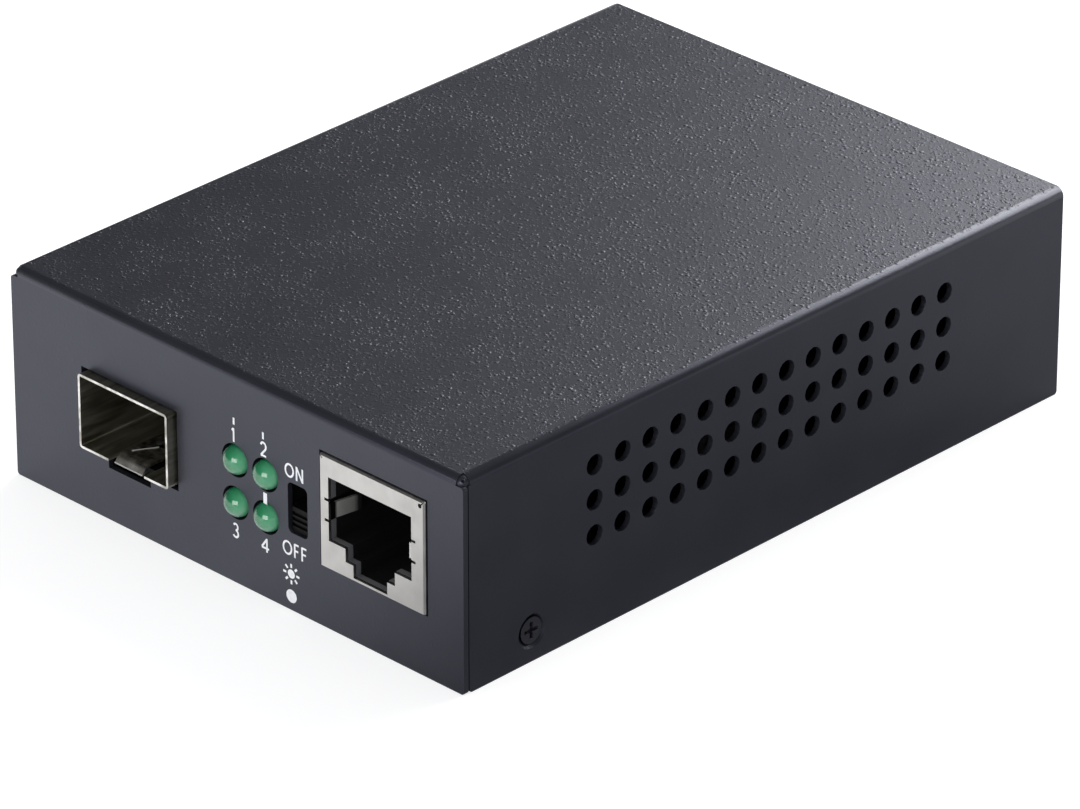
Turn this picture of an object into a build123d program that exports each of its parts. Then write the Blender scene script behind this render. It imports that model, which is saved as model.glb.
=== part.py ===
from build123d import *
from math import atan2, cos, degrees, pi, radians, sin
import os

# A compact fibre media converter: a folded steel box with a bay for an optical module,
# a network socket, four status lights and a slide switch in front, and a power inlet
# behind. The origin is at the bottom centre of the box. X runs to the right as seen
# from the front, Y from the front to the rear and Z up. All lengths are millimetres.

# Sheet metal box, built round the row of ports in its front
SHEET = 0.7
LEFT_MARGIN = 11.8
RIGHT_MARGIN = 5.5
HEAD_ROOM = 4.0
REAR_ROOM = 47.4
BEND_INNER = 0.4
SEAM_GAP = 0.15
FIT_GAP = 0.15
CORNER_ROUND = 0.4
FLANGE_HEIGHT = 8.0
LIP_HEIGHT = 4.0

# Side vents, which are round holes drawn with few sides
VENT_RADIUS = 1.25
VENT_SIDES = 12
VENT_COLUMNS = 14
VENT_ROWS = 3
VENT_PITCH_ALONG = 4.27
VENT_PITCH_UP = 4.25
VENT_DROP = 10.12

# Screws that hold the cover on the tray
COVER_SCREW_SETBACK = 10.3
COVER_SCREW_HEIGHT = 3.7
COVER_SCREW_RADIUS = 1.3
COVER_SCREW_HEAD_RADIUS = 1.6
COVER_SCREW_HEAD_BASE = 1.38
COVER_SCREW_HEAD_DEPTH = 0.5
COVER_SCREW_LENGTH = 4.5
SHANK_SIDES = 12
COVER_SCREW_SINK = 0.15
DIMPLE_RADIUS = 2.1
DIMPLE_CLEARANCE = 0.12
RECESS_LENGTH = 2.0
RECESS_WIDTH = 0.45
RECESS_DEPTH = 0.7

# Circuit board and what carries it
BOARD_THICKNESS = 1.6
BOARD_RISE = 5.3
BOARD_SIDE_GAP = 1.45
BOARD_FRONT_GAP = 1.0
BOARD_REAR_GAP = 1.7
BOARD_HOLE_RADIUS = 1.6
HIDDEN_BORE_SIDES = 6
BOARD_HOLE_INSET = 3.0
BOARD_HOLE_SETBACK = 20.0
STANDOFF_RADIUS = 2.9
BOARD_SCREW_RADIUS = 1.2
BOARD_SCREW_HEAD_RADIUS = 2.6
BOARD_SCREW_HEAD_HEIGHT = 1.8
BOARD_SCREW_LENGTH = 5.5
THREAD_CLEARANCE = 0.05

# Optical module bay: a cage of thin plated sheet
CAGE_WIDTH = 14.15
CAGE_HEIGHT = 9.2
CAGE_DEPTH = 48.8
CAGE_SHEET = 0.3
CAGE_CORNER = 0.45
CAGE_LIFT = 0.7
CAGE_PROUD = 1.2
CAGE_FOOT_LENGTH = 1.2
CAGE_FOOT_PITCH = 10.0
CAGE_FEET = 4
BAY_CUT_WIDTH = 15.2
BAY_CUT_HEIGHT = 9.8
BAY_CUT_SHIFT = -0.175
BAY_CUT_DROP = 0.15
BAY_NOTCH_WIDTH = 6.7
BAY_NOTCH_SHIFT = -0.375
BAY_NOTCH_DEPTH = 1.3
LATCH_SLOT_WIDTH = 5.7
LATCH_SLOT_SHIFT = 0.4
LATCH_SLOT_LENGTH = 12.0
LATCH_WIDTH = 4.4
LATCH_RISE = 0.6
LATCH_CURL = 1.0
LATCH_HOLE = 2.6

# Connector at the end of the bay
CARD_BLOCK_WIDTH = 12.6
CARD_BLOCK_DEPTH = 10.5
CARD_BLOCK_HEIGHT = 7.4
CARD_BLOCK_GAP = 0.4
CARD_SLOT_WIDTH = 9.8
CARD_SLOT_HEIGHT = 1.9
CARD_SLOT_DEPTH = 6.5
CARD_SLOT_RISE = 4.6
CARD_CONTACTS = 10
CARD_CONTACT_PITCH = 0.8
CARD_CONTACT_WIDTH = 0.35
CARD_CONTACT_THICKNESS = 0.25

# Network socket with its metal shield
SOCKET_WIDTH = 15.85
SOCKET_HEIGHT = 13.6
SOCKET_DEPTH = 16.5
SOCKET_SEAT_GAP = 0.1
SOCKET_PROUD = 0.3
SOCKET_CUT_GAP = 0.2
SHIELD_SHEET = 0.3
SHIELD_EDGE = 0.2
SHIELD_FIT_GAP = 0.05
FOLD_HOLE_RADIUS = 0.27
FOLD_HOLE_INSET = 0.65
FOLD_SLIT_WIDTH = 0.12
FOLD_SLIT_INSET = 0.5
PLUG_SHIFT = -0.275
PLUG_WIDTH = 12.5
PLUG_BOTTOM = 3.4
PLUG_TOP = 11.1
STEP_WIDTH = 7.45
STEP_BOTTOM = 1.8
TAB_WIDTH = 5.1
TAB_BOTTOM = 0.3
PLUG_DEPTH = 13.2
SLIT_DEPTH = 0.6
SLIT_HEIGHT = 0.3
SLIT_LOW = 5.8
SLIT_HIGH = 8.3
SIDE_SPRING_LENGTH = 4.0
SIDE_SPRING_LEAN = 0.7
WIRES = 8
WIRE_PITCH = 1.02
WIRE_WIDTH = 0.4
WIRE_THICKNESS = 0.3
WIRE_POCKET_HEIGHT = 1.5
WIRE_POCKET_WIDTH = 8.4
WIRE_SETBACK = 3.4
WIRE_SPAN = 7.0
WIRE_DROP = 4.4
WIRE_BEND = 0.5

# Status lights, two by two
LIGHT_GAP = 9.39
LIGHT_PITCH_ACROSS = 4.7
LIGHT_RISE = 2.33
LIGHT_PITCH_UP = 5.2
LIGHT_RADIUS = 1.75
LIGHT_HOLE_RADIUS = 2.0
LIGHT_PROUD = 1.3
LIGHT_LENGTH = 5.2
LIGHT_SIDES = 16
LIGHT_HOLE_SIDES = 24
DOME_ANGLES = (0, 25, 50, 75)
LIGHT_BORE_GAP = 0.1
HOLDER_GAP = 0.7
HOLDER_DEPTH = 6.5
HOLDER_MARGIN = 2.3
LEAD_SPREAD = 1.27
LEAD_SIZE = 0.45
LEAD_REACH = 1.6

# Slide switch
SLOT_GAP = 4.96
SLOT_WIDTH = 3.0
SLOT_HEIGHT = 6.15
SLOT_RISE = 2.0
SLOT_ROUND = 0.6
SLOT_TO_SOCKET = 3.65
SLIDER_HEIGHT = 2.95
SLIDER_GAP = 0.1
SLIDER_SIDE_GAP = 0.2
SLIDER_RECESS = 0.4
SLIDER_ROOT_WIDTH = 3.7
SLIDER_ROOT_DEPTH = 2.8
RIDGE_COUNT = 4
RIDGE_PITCH = 0.68
RIDGE_WIDTH = 0.28
RIDGE_DEPTH = 0.3
SWITCH_GAP = 0.4
SWITCH_DEPTH = 6.0
SWITCH_WALL = 0.45
SWITCH_ROOF = 1.2

# Power inlet
JACK_FROM_LEFT = 35.0
JACK_WIDTH = 9.0
JACK_HEIGHT = 11.0
JACK_DEPTH = 13.0
JACK_GAP = 0.2
JACK_AXIS_RISE = 6.5
JACK_COLLAR_RADIUS = 4.1
JACK_COLLAR_PROUD = 0.3
JACK_HOLE_GAP = 0.3
JACK_BORE_RADIUS = 3.15
JACK_BORE_DEPTH = 10.0
JACK_PIN_RADIUS = 1.0
JACK_PIN_RECESS = 0.8
JACK_PIN_TIP = 0.4
JACK_LEAF_WIDTH = 1.6
JACK_LEAF_THICKNESS = 0.3
JACK_LEAF_LENGTH = 6.0
JACK_GROOVE_DEPTH = 0.7
JACK_SIDE_GAP = 0.1

# Chips behind the network socket, each placed from the middle of its rear
TRANSFORMER_SIZE = (12.6, 9.4, 5.4)
TRANSFORMER_SHIFT = (-2.6, 12.3)
TRANSFORMER_LEADS = 6
TRANSFORMER_LEAD_PITCH = 2.0
CHIP_SIZE = (14.0, 14.0, 1.4)
CHIP_SHIFT = (-9.1, 37.3)
CHIP_LEADS = 6
CHIP_LEAD_PITCH = 1.9
CHIP_STANDOFF = 0.1
CHIP_LEAD_WIDTH = 0.4
CHIP_LEAD_THICKNESS = 0.2
CHIP_LEAD_REACH = 1.2
MEMORY_SIZE = (4.9, 3.9, 1.5)
MEMORY_SHIFT = (4.9, 43.3)
CRYSTAL_LENGTH = 11.0
CRYSTAL_WIDTH = 4.6
CRYSTAL_HEIGHT = 3.6
CRYSTAL_SHIFT = (4.4, 33.3)
SMALL_SIZE = (1.6, 0.8, 0.6)
SMALL_PITCH = 2.4
SMALL_ROWS = 2
SMALL_COLUMNS = 5
RESISTORS_SHIFT = (-18.6, 19.3)
CAPACITORS_SHIFT = (-7.6, 53.3)

# Power parts behind the module cage, each placed from the middle of its rear
REGULATOR_SIZE = (6.5, 6.1, 2.3)
REGULATOR_SHIFT = (3.1, 26.0)
REGULATOR_TAB = (5.2, 1.4, 0.6)
INDUCTOR_SIZE = (7.2, 7.2, 4.2)
INDUCTOR_SHIFT = (-6.9, 20.0)
CAN_EDGE = 0.5
INPUT_CAN_RADIUS = 4.0
INPUT_CAN_HEIGHT = 11.5
INPUT_CAN_SHIFT = (2.1, 36.4)
OUTPUT_CAN_RADIUS = 3.15
OUTPUT_CAN_HEIGHT = 9.0
OUTPUT_CAN_SHIFT = (-7.9, 31.0)

# Planes and heights worked out from the sizes above
BEND_OUTER = BEND_INNER + SHEET
BOARD_BOTTOM = SHEET + BOARD_RISE
BOARD_TOP = BOARD_BOTTOM + BOARD_THICKNESS
SOCKET_BOTTOM = BOARD_TOP + SOCKET_SEAT_GAP
CAGE_OFFSET = LEFT_MARGIN + CAGE_WIDTH / 2
LIGHT_OFFSET = LEFT_MARGIN + CAGE_WIDTH + LIGHT_GAP + LIGHT_PITCH_ACROSS / 2
SLOT_OFFSET = LIGHT_OFFSET + LIGHT_PITCH_ACROSS / 2 + SLOT_GAP
SOCKET_OFFSET = SLOT_OFFSET + SLOT_TO_SOCKET + SOCKET_WIDTH / 2
BOX_WIDTH = SOCKET_OFFSET + SOCKET_WIDTH / 2 + RIGHT_MARGIN
BOX_DEPTH = CAGE_DEPTH - CAGE_PROUD + REAR_ROOM
BOX_HEIGHT = SOCKET_BOTTOM + SOCKET_HEIGHT + HEAD_ROOM + SHEET
SIDE = BOX_WIDTH / 2
FRONT = -BOX_DEPTH / 2
REAR = BOX_DEPTH / 2
SIDE_END = FRONT + SHEET + SEAM_GAP
TRAY_SIDE = SIDE - SHEET - FIT_GAP
TRAY_FRONT = FRONT + SHEET + FIT_GAP
TRAY_TOP = BOX_HEIGHT - SHEET - FIT_GAP
BOARD_SIDE = TRAY_SIDE - SHEET - BOARD_SIDE_GAP
BOARD_FRONT = FRONT + SHEET + BOARD_FRONT_GAP
BOARD_REAR = REAR - SHEET - BOARD_REAR_GAP
CAGE_CENTRE = CAGE_OFFSET - SIDE
CAGE_BOTTOM = BOARD_TOP + CAGE_LIFT
CAGE_MIDDLE = CAGE_BOTTOM + CAGE_HEIGHT / 2
CAGE_FRONT = FRONT - CAGE_PROUD
CAGE_REAR = CAGE_FRONT + CAGE_DEPTH
SOCKET_CENTRE = SOCKET_OFFSET - SIDE
SOCKET_FRONT = FRONT - SOCKET_PROUD
SOCKET_REAR = SOCKET_FRONT + SOCKET_DEPTH
PLUG_CENTRE = SOCKET_CENTRE + PLUG_SHIFT
LIGHT_CENTRE = LIGHT_OFFSET - SIDE
LIGHT_MIDDLE = BOARD_TOP + LIGHT_RISE + LIGHT_PITCH_UP / 2
HOLDER_FRONT = FRONT + SHEET + HOLDER_GAP
SLOT_CENTRE = SLOT_OFFSET - SIDE
SLOT_BOTTOM = BOARD_TOP + SLOT_RISE
SLOT_MIDDLE = SLOT_BOTTOM + SLOT_HEIGHT / 2
SWITCH_FRONT = FRONT + SHEET + SWITCH_GAP
JACK_CENTRE = JACK_FROM_LEFT - SIDE
JACK_AXIS = BOARD_TOP + JACK_AXIS_RISE
JACK_REAR = REAR - SHEET - JACK_GAP
JACK_COLLAR_REAR = REAR + JACK_COLLAR_PROUD
FRONT_FACE = Plane.XZ.offset(-FRONT)
BOARD_FACE = Plane.XY.offset(BOARD_TOP)
BOTTOM = (Align.CENTER, Align.CENTER, Align.MIN)
TOP = (Align.CENTER, Align.CENTER, Align.MAX)
STANDING = (Align.CENTER, Align.MIN)

os.makedirs("parts", exist_ok=True)


def save(piece, label):
    """Labels a finished sub-part and writes it as a STEP file."""
    piece.part.label = label
    export_step(piece.part, f"parts/{label}.step")


def add_fold(plane, outline, length, thickness=SHEET, radius=BEND_OUTER):
    """Adds a strip of sheet bent along an outline, with its thickness on the right."""
    with BuildSketch(plane) as strip:
        with BuildLine():
            FilletPolyline(*outline, radius=radius)
            offset(amount=thickness, side=Side.RIGHT)
        make_face()
    extrude(strip.sketch, amount=length)


def socket_outline(margin):
    """Draws the stepped opening for a plug with its latch tab down, in the open sketch."""
    for width, bottom in ((PLUG_WIDTH, PLUG_BOTTOM), (STEP_WIDTH, STEP_BOTTOM), (TAB_WIDTH, TAB_BOTTOM)):
        with Locations((PLUG_CENTRE, SOCKET_BOTTOM + bottom + margin)):
            Rectangle(width - 2 * margin, PLUG_TOP - bottom - 2 * margin, align=STANDING)


# Cover: one sheet folded into the top, the front and both sides
with BuildPart() as cover:
    add_fold(
        Plane.XZ.offset(-REAR),
        [(-SIDE, 0), (-SIDE, BOX_HEIGHT), (SIDE, BOX_HEIGHT), (SIDE, 0)],
        BOX_DEPTH - BEND_OUTER,
    )
    add_fold(
        Plane.YZ.offset(BEND_OUTER - SIDE),
        [
            (FRONT, BOX_HEIGHT - 2 * BEND_OUTER),
            (FRONT, BOX_HEIGHT),
            (FRONT + 2 * BEND_OUTER, BOX_HEIGHT),
        ],
        BOX_WIDTH - 2 * BEND_OUTER,
    )
    # The sides reach on below the bend and stop just behind the front wall
    with BuildSketch(Plane.XY):
        with Locations((0, SIDE_END)):
            with GridLocations(BOX_WIDTH - SHEET, 0, 2, 1):
                Rectangle(SHEET, FRONT + BEND_OUTER - SIDE_END, align=STANDING)
    extrude(amount=BOX_HEIGHT - BEND_OUTER)
    # Rounded lower corners of both sides, cut at once
    with BuildSketch(Plane.YZ.offset(SIDE)):
        with Locations(((SIDE_END + REAR) / 2, 0)):
            Rectangle(REAR - SIDE_END, CORNER_ROUND, align=STANDING)
            RectangleRounded(
                REAR - SIDE_END, 3 * CORNER_ROUND, CORNER_ROUND, align=STANDING, mode=Mode.SUBTRACT
            )
    extrude(amount=-BOX_WIDTH, mode=Mode.SUBTRACT)
    # The front wall reaches across the ends of both sides
    with BuildSketch(FRONT_FACE) as front_wall:
        Rectangle(BOX_WIDTH, BOX_HEIGHT - BEND_OUTER, align=STANDING)
        fillet(front_wall.vertices().group_by(Axis.Z)[0], CORNER_ROUND)
    extrude(amount=-SHEET)
    # Openings in the front
    with BuildSketch(FRONT_FACE):
        with Locations((CAGE_CENTRE + BAY_CUT_SHIFT, CAGE_MIDDLE - BAY_CUT_DROP)):
            Rectangle(BAY_CUT_WIDTH, BAY_CUT_HEIGHT)
        with Locations((CAGE_CENTRE + BAY_NOTCH_SHIFT, CAGE_MIDDLE - BAY_CUT_DROP)):
            Rectangle(
                BAY_NOTCH_WIDTH, BAY_CUT_HEIGHT / 2 + BAY_NOTCH_DEPTH, align=(Align.CENTER, Align.MAX)
            )
        with Locations((SOCKET_CENTRE, SOCKET_BOTTOM - SOCKET_CUT_GAP)):
            Rectangle(
                SOCKET_WIDTH + 2 * SOCKET_CUT_GAP, SOCKET_HEIGHT + 2 * SOCKET_CUT_GAP, align=STANDING
            )
        with Locations((LIGHT_CENTRE, LIGHT_MIDDLE)):
            with GridLocations(LIGHT_PITCH_ACROSS, LIGHT_PITCH_UP, 2, 2):
                RegularPolygon(LIGHT_HOLE_RADIUS, LIGHT_HOLE_SIDES)
        with Locations((SLOT_CENTRE, SLOT_MIDDLE)):
            RectangleRounded(SLOT_WIDTH, SLOT_HEIGHT, SLOT_ROUND)
    extrude(amount=-BEND_OUTER, mode=Mode.SUBTRACT)
    # Vents through both sides at once
    with BuildSketch(Plane.YZ.offset(SIDE)):
        with Locations((0, BOX_HEIGHT - VENT_DROP)):
            with GridLocations(VENT_PITCH_ALONG, VENT_PITCH_UP, VENT_COLUMNS, VENT_ROWS):
                RegularPolygon(VENT_RADIUS, VENT_SIDES)
    extrude(amount=-BOX_WIDTH, mode=Mode.SUBTRACT)
    # Countersunk holes for the side screws
    for side in (-1, 1):
        seat = (side * SIDE, FRONT + COVER_SCREW_SETBACK, COVER_SCREW_HEIGHT)
        with Locations(Plane(origin=seat, z_dir=(side, 0, 0))):
            CounterSinkHole(COVER_SCREW_RADIUS + DIMPLE_CLEARANCE, DIMPLE_RADIUS, 2 * SHEET, 90)
save(cover, "cover")

# Base tray: one sheet folded into the floor, side flanges, front lip and rear wall
with BuildPart() as base_tray:
    add_fold(
        Plane.YZ.offset(BEND_OUTER - TRAY_SIDE),
        [(REAR, TRAY_TOP), (REAR, 0), (TRAY_FRONT, 0), (TRAY_FRONT, LIP_HEIGHT)],
        2 * (TRAY_SIDE - BEND_OUTER),
    )
    add_fold(
        Plane.XZ.offset(BEND_OUTER - REAR),
        [(TRAY_SIDE, FLANGE_HEIGHT), (TRAY_SIDE, 0), (-TRAY_SIDE, 0), (-TRAY_SIDE, FLANGE_HEIGHT)],
        REAR - TRAY_FRONT - 2 * BEND_OUTER,
    )
    # The rear wall fills the cover's open end
    with BuildSketch(Plane.XZ.offset(-REAR)):
        with Locations((0, BEND_OUTER)):
            Rectangle(2 * TRAY_SIDE, TRAY_TOP - BEND_OUTER, align=STANDING)
    extrude(amount=SHEET)
    with BuildSketch(Plane.XZ.offset(-REAR)):
        with Locations((JACK_CENTRE, JACK_AXIS)):
            Circle(JACK_COLLAR_RADIUS + JACK_HOLE_GAP)
    extrude(amount=SHEET, mode=Mode.SUBTRACT)
    # Threaded holes for the side screws
    with BuildSketch(Plane.YZ.offset(TRAY_SIDE)):
        with Locations((FRONT + COVER_SCREW_SETBACK, COVER_SCREW_HEIGHT)):
            Circle(COVER_SCREW_RADIUS + THREAD_CLEARANCE)
    extrude(amount=-2 * TRAY_SIDE, mode=Mode.SUBTRACT)
save(base_tray, "base_tray")

# Side screws: flat heads with a cross recess
with BuildPart() as cover_screws:
    for side in (-1, 1):
        seat = (side * (SIDE - COVER_SCREW_SINK), FRONT + COVER_SCREW_SETBACK, COVER_SCREW_HEIGHT)
        with Locations(Plane(origin=seat, z_dir=(side, 0, 0))):
            Cone(COVER_SCREW_HEAD_BASE, COVER_SCREW_HEAD_RADIUS, COVER_SCREW_HEAD_DEPTH, align=TOP)
            Box(RECESS_LENGTH, RECESS_WIDTH, 2 * RECESS_DEPTH, mode=Mode.SUBTRACT)
            Box(RECESS_WIDTH, RECESS_LENGTH, 2 * RECESS_DEPTH, mode=Mode.SUBTRACT)
        shank_start = Plane(origin=seat, z_dir=(side, 0, 0)).offset(-COVER_SCREW_HEAD_DEPTH)
        with BuildSketch(shank_start):
            RegularPolygon(COVER_SCREW_RADIUS, SHANK_SIDES)
        extrude(amount=COVER_SCREW_HEAD_DEPTH - COVER_SCREW_LENGTH)
save(cover_screws, "cover_screws")

# Places of the standoffs, symmetrical left and right
BOARD_HOLES = [
    (side * (BOARD_SIDE - BOARD_HOLE_INSET), y)
    for side in (-1, 1)
    for y in (BOARD_FRONT + BOARD_HOLE_SETBACK, BOARD_REAR - BOARD_HOLE_INSET)
]

# Hexagonal standoffs pressed into the floor
with BuildPart() as board_standoffs:
    with BuildSketch(Plane.XY.offset(SHEET)):
        with Locations(*BOARD_HOLES):
            RegularPolygon(STANDOFF_RADIUS, 6)
            RegularPolygon(
                BOARD_SCREW_RADIUS + THREAD_CLEARANCE, HIDDEN_BORE_SIDES, mode=Mode.SUBTRACT
            )
    extrude(amount=BOARD_RISE)
save(board_standoffs, "board_standoffs")

# Hexagon-head screws that clamp the board on the standoffs
with BuildPart() as board_screws:
    with BuildSketch(BOARD_FACE):
        with Locations(*BOARD_HOLES):
            RegularPolygon(BOARD_SCREW_HEAD_RADIUS, 6)
    extrude(amount=BOARD_SCREW_HEAD_HEIGHT)
    with BuildSketch(BOARD_FACE):
        with Locations(*BOARD_HOLES):
            RegularPolygon(BOARD_SCREW_RADIUS, HIDDEN_BORE_SIDES)
    extrude(amount=-BOARD_SCREW_LENGTH)
save(board_screws, "board_screws")

# Circuit board
with BuildPart() as circuit_board:
    with BuildSketch(Plane.XY.offset(BOARD_BOTTOM)):
        with Locations((0, (BOARD_FRONT + BOARD_REAR) / 2)):
            Rectangle(2 * BOARD_SIDE, BOARD_REAR - BOARD_FRONT)
        with Locations(*BOARD_HOLES):
            RegularPolygon(BOARD_HOLE_RADIUS, HIDDEN_BORE_SIDES, mode=Mode.SUBTRACT)
    extrude(amount=BOARD_THICKNESS)
save(circuit_board, "circuit_board")

# Module cage: a square tube of thin sheet with a closed rear, on solder feet
CAGE_FLOOR_OPENING = CARD_BLOCK_DEPTH + 2 * CARD_BLOCK_GAP
with BuildPart() as sfp_cage:
    with BuildSketch(Plane.XZ.offset(-CAGE_FRONT)):
        with Locations((CAGE_CENTRE, CAGE_MIDDLE)):
            RectangleRounded(CAGE_WIDTH, CAGE_HEIGHT, CAGE_CORNER)
    extrude(amount=-CAGE_DEPTH)
    with BuildSketch(Plane.XZ.offset(-CAGE_FRONT)):
        with Locations((CAGE_CENTRE, CAGE_MIDDLE)):
            RectangleRounded(
                CAGE_WIDTH - 2 * CAGE_SHEET, CAGE_HEIGHT - 2 * CAGE_SHEET, CAGE_CORNER - CAGE_SHEET
            )
    extrude(amount=CAGE_SHEET - CAGE_DEPTH, mode=Mode.SUBTRACT)
    # Slot for the latch tongue and an opening over the connector
    with BuildSketch(Plane.XY.offset(CAGE_BOTTOM)):
        with Locations((CAGE_CENTRE + LATCH_SLOT_SHIFT, CAGE_FRONT)):
            Rectangle(LATCH_SLOT_WIDTH, LATCH_SLOT_LENGTH, align=STANDING)
        with Locations((CAGE_CENTRE, CAGE_REAR - CAGE_SHEET)):
            Rectangle(
                CARD_BLOCK_WIDTH + 2 * CARD_BLOCK_GAP, CAGE_FLOOR_OPENING, align=(Align.CENTER, Align.MAX)
            )
    extrude(amount=CAGE_SHEET, mode=Mode.SUBTRACT)
    with BuildSketch(BOARD_FACE):
        with Locations((CAGE_CENTRE, (CAGE_FRONT + CAGE_REAR) / 2)):
            with GridLocations(CAGE_WIDTH - CAGE_SHEET, CAGE_FOOT_PITCH, 2, CAGE_FEET):
                Rectangle(CAGE_SHEET, CAGE_FOOT_LENGTH)
    extrude(amount=CAGE_LIFT + CAGE_CORNER)
save(sfp_cage, "sfp_cage")

# Latch tongue: a strip that rises into the bay and curls down at its free end
LATCH_ROOT = CAGE_FRONT + LATCH_SLOT_LENGTH
LATCH_CREST = CAGE_BOTTOM + CAGE_SHEET + LATCH_RISE
with BuildPart() as sfp_latch:
    add_fold(
        Plane.YZ.offset(CAGE_CENTRE + LATCH_SLOT_SHIFT - LATCH_WIDTH / 2),
        [
            (CAGE_FRONT + CAGE_SHEET, LATCH_CREST - LATCH_CURL),
            (CAGE_FRONT + LATCH_CURL, LATCH_CREST),
            (CAGE_FRONT + 3 * LATCH_CURL, LATCH_CREST),
            (LATCH_ROOT, CAGE_BOTTOM + CAGE_SHEET),
        ],
        LATCH_WIDTH,
        CAGE_SHEET,
        LATCH_CURL,
    )
    with BuildSketch(Plane.XY.offset(CAGE_BOTTOM)):
        with Locations((CAGE_CENTRE + LATCH_SLOT_SHIFT, (CAGE_FRONT + LATCH_ROOT) / 2)):
            Triangle(a=LATCH_HOLE, b=LATCH_HOLE, c=LATCH_HOLE)
    extrude(amount=2 * LATCH_CURL, mode=Mode.SUBTRACT)
save(sfp_latch, "sfp_latch")

# Card-edge connector inside the rear end of the cage
CARD_BLOCK_REAR = CAGE_REAR - CAGE_SHEET - CARD_BLOCK_GAP
CARD_BLOCK_FRONT = CARD_BLOCK_REAR - CARD_BLOCK_DEPTH
CARD_SLOT_MIDDLE = BOARD_TOP + CARD_SLOT_RISE
with BuildPart() as card_connector:
    with BuildSketch(Plane.XZ.offset(-CARD_BLOCK_FRONT)):
        with Locations((CAGE_CENTRE, BOARD_TOP)):
            Rectangle(CARD_BLOCK_WIDTH, CARD_BLOCK_HEIGHT, align=STANDING)
    extrude(amount=-CARD_BLOCK_DEPTH)
    with BuildSketch(Plane.XZ.offset(-CARD_BLOCK_FRONT)):
        with Locations((CAGE_CENTRE, CARD_SLOT_MIDDLE)):
            Rectangle(CARD_SLOT_WIDTH, CARD_SLOT_HEIGHT)
    extrude(amount=-CARD_SLOT_DEPTH, mode=Mode.SUBTRACT)
save(card_connector, "card_connector")

# Contacts above and below the card
CARD_CONTACT_PLANE = Plane.XZ.offset(-CARD_BLOCK_FRONT - CARD_BLOCK_GAP)
with BuildPart() as card_contacts:
    with BuildSketch(CARD_CONTACT_PLANE):
        with Locations((CAGE_CENTRE, CARD_SLOT_MIDDLE)):
            with GridLocations(
                CARD_CONTACT_PITCH, CARD_SLOT_HEIGHT - CARD_CONTACT_THICKNESS, CARD_CONTACTS, 2
            ):
                Rectangle(CARD_CONTACT_WIDTH, CARD_CONTACT_THICKNESS)
    extrude(amount=CARD_BLOCK_GAP - CARD_SLOT_DEPTH)
save(card_contacts, "card_contacts")

# Network socket shield: five folded sides of thin sheet round the plastic housing
SHIELD_TOP = SOCKET_BOTTOM + SOCKET_HEIGHT
with BuildPart() as socket_shield:
    with BuildSketch(BOARD_FACE.offset(SOCKET_SEAT_GAP)):
        with Locations((SOCKET_CENTRE, SOCKET_FRONT)):
            Rectangle(SOCKET_WIDTH, SOCKET_DEPTH, align=STANDING)
    extrude(amount=SOCKET_HEIGHT)
    chamfer(socket_shield.edges().filter_by(Axis.Z), SHIELD_EDGE)
    chamfer(socket_shield.edges().group_by(Axis.Z)[-1], SHIELD_EDGE)
    with BuildSketch(BOARD_FACE.offset(SOCKET_SEAT_GAP)):
        with Locations((SOCKET_CENTRE, SOCKET_FRONT + SHIELD_SHEET)):
            Rectangle(
                SOCKET_WIDTH - 2 * SHIELD_SHEET, SOCKET_DEPTH - 2 * SHIELD_SHEET, align=STANDING
            )
    extrude(amount=SOCKET_HEIGHT - SHIELD_SHEET, mode=Mode.SUBTRACT)
    with BuildSketch(Plane.XZ.offset(-SOCKET_FRONT)):
        socket_outline(0)
        # Slits that free the side springs
        with Locations((PLUG_CENTRE, SOCKET_BOTTOM + (SLIT_LOW + SLIT_HIGH) / 2)):
            with GridLocations(0, SLIT_HIGH - SLIT_LOW, 1, 2):
                Rectangle(PLUG_WIDTH + 2 * SLIT_DEPTH, SLIT_HEIGHT)
    extrude(amount=-2 * SHIELD_SHEET, mode=Mode.SUBTRACT)
    # Slits where the folds part in both upper corners, and a hole at the end of the right one
    with BuildSketch(Plane.XZ.offset(-SOCKET_FRONT)):
        for side in (-1, 1):
            slit_x = SOCKET_CENTRE + side * (SOCKET_WIDTH / 2 - FOLD_SLIT_INSET)
            with Locations((slit_x, SHIELD_TOP - FOLD_SLIT_INSET)):
                Rectangle(
                    2 * FOLD_SLIT_INSET,
                    FOLD_SLIT_WIDTH,
                    rotation=90 - side * 45,
                    align=(Align.MIN, Align.CENTER),
                )
        with Locations((SOCKET_CENTRE + SOCKET_WIDTH / 2 - FOLD_HOLE_INSET, SHIELD_TOP - FOLD_HOLE_INSET)):
            RegularPolygon(FOLD_HOLE_RADIUS, 8)
    extrude(amount=-SHIELD_SHEET, mode=Mode.SUBTRACT)
save(socket_shield, "socket_shield")

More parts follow.
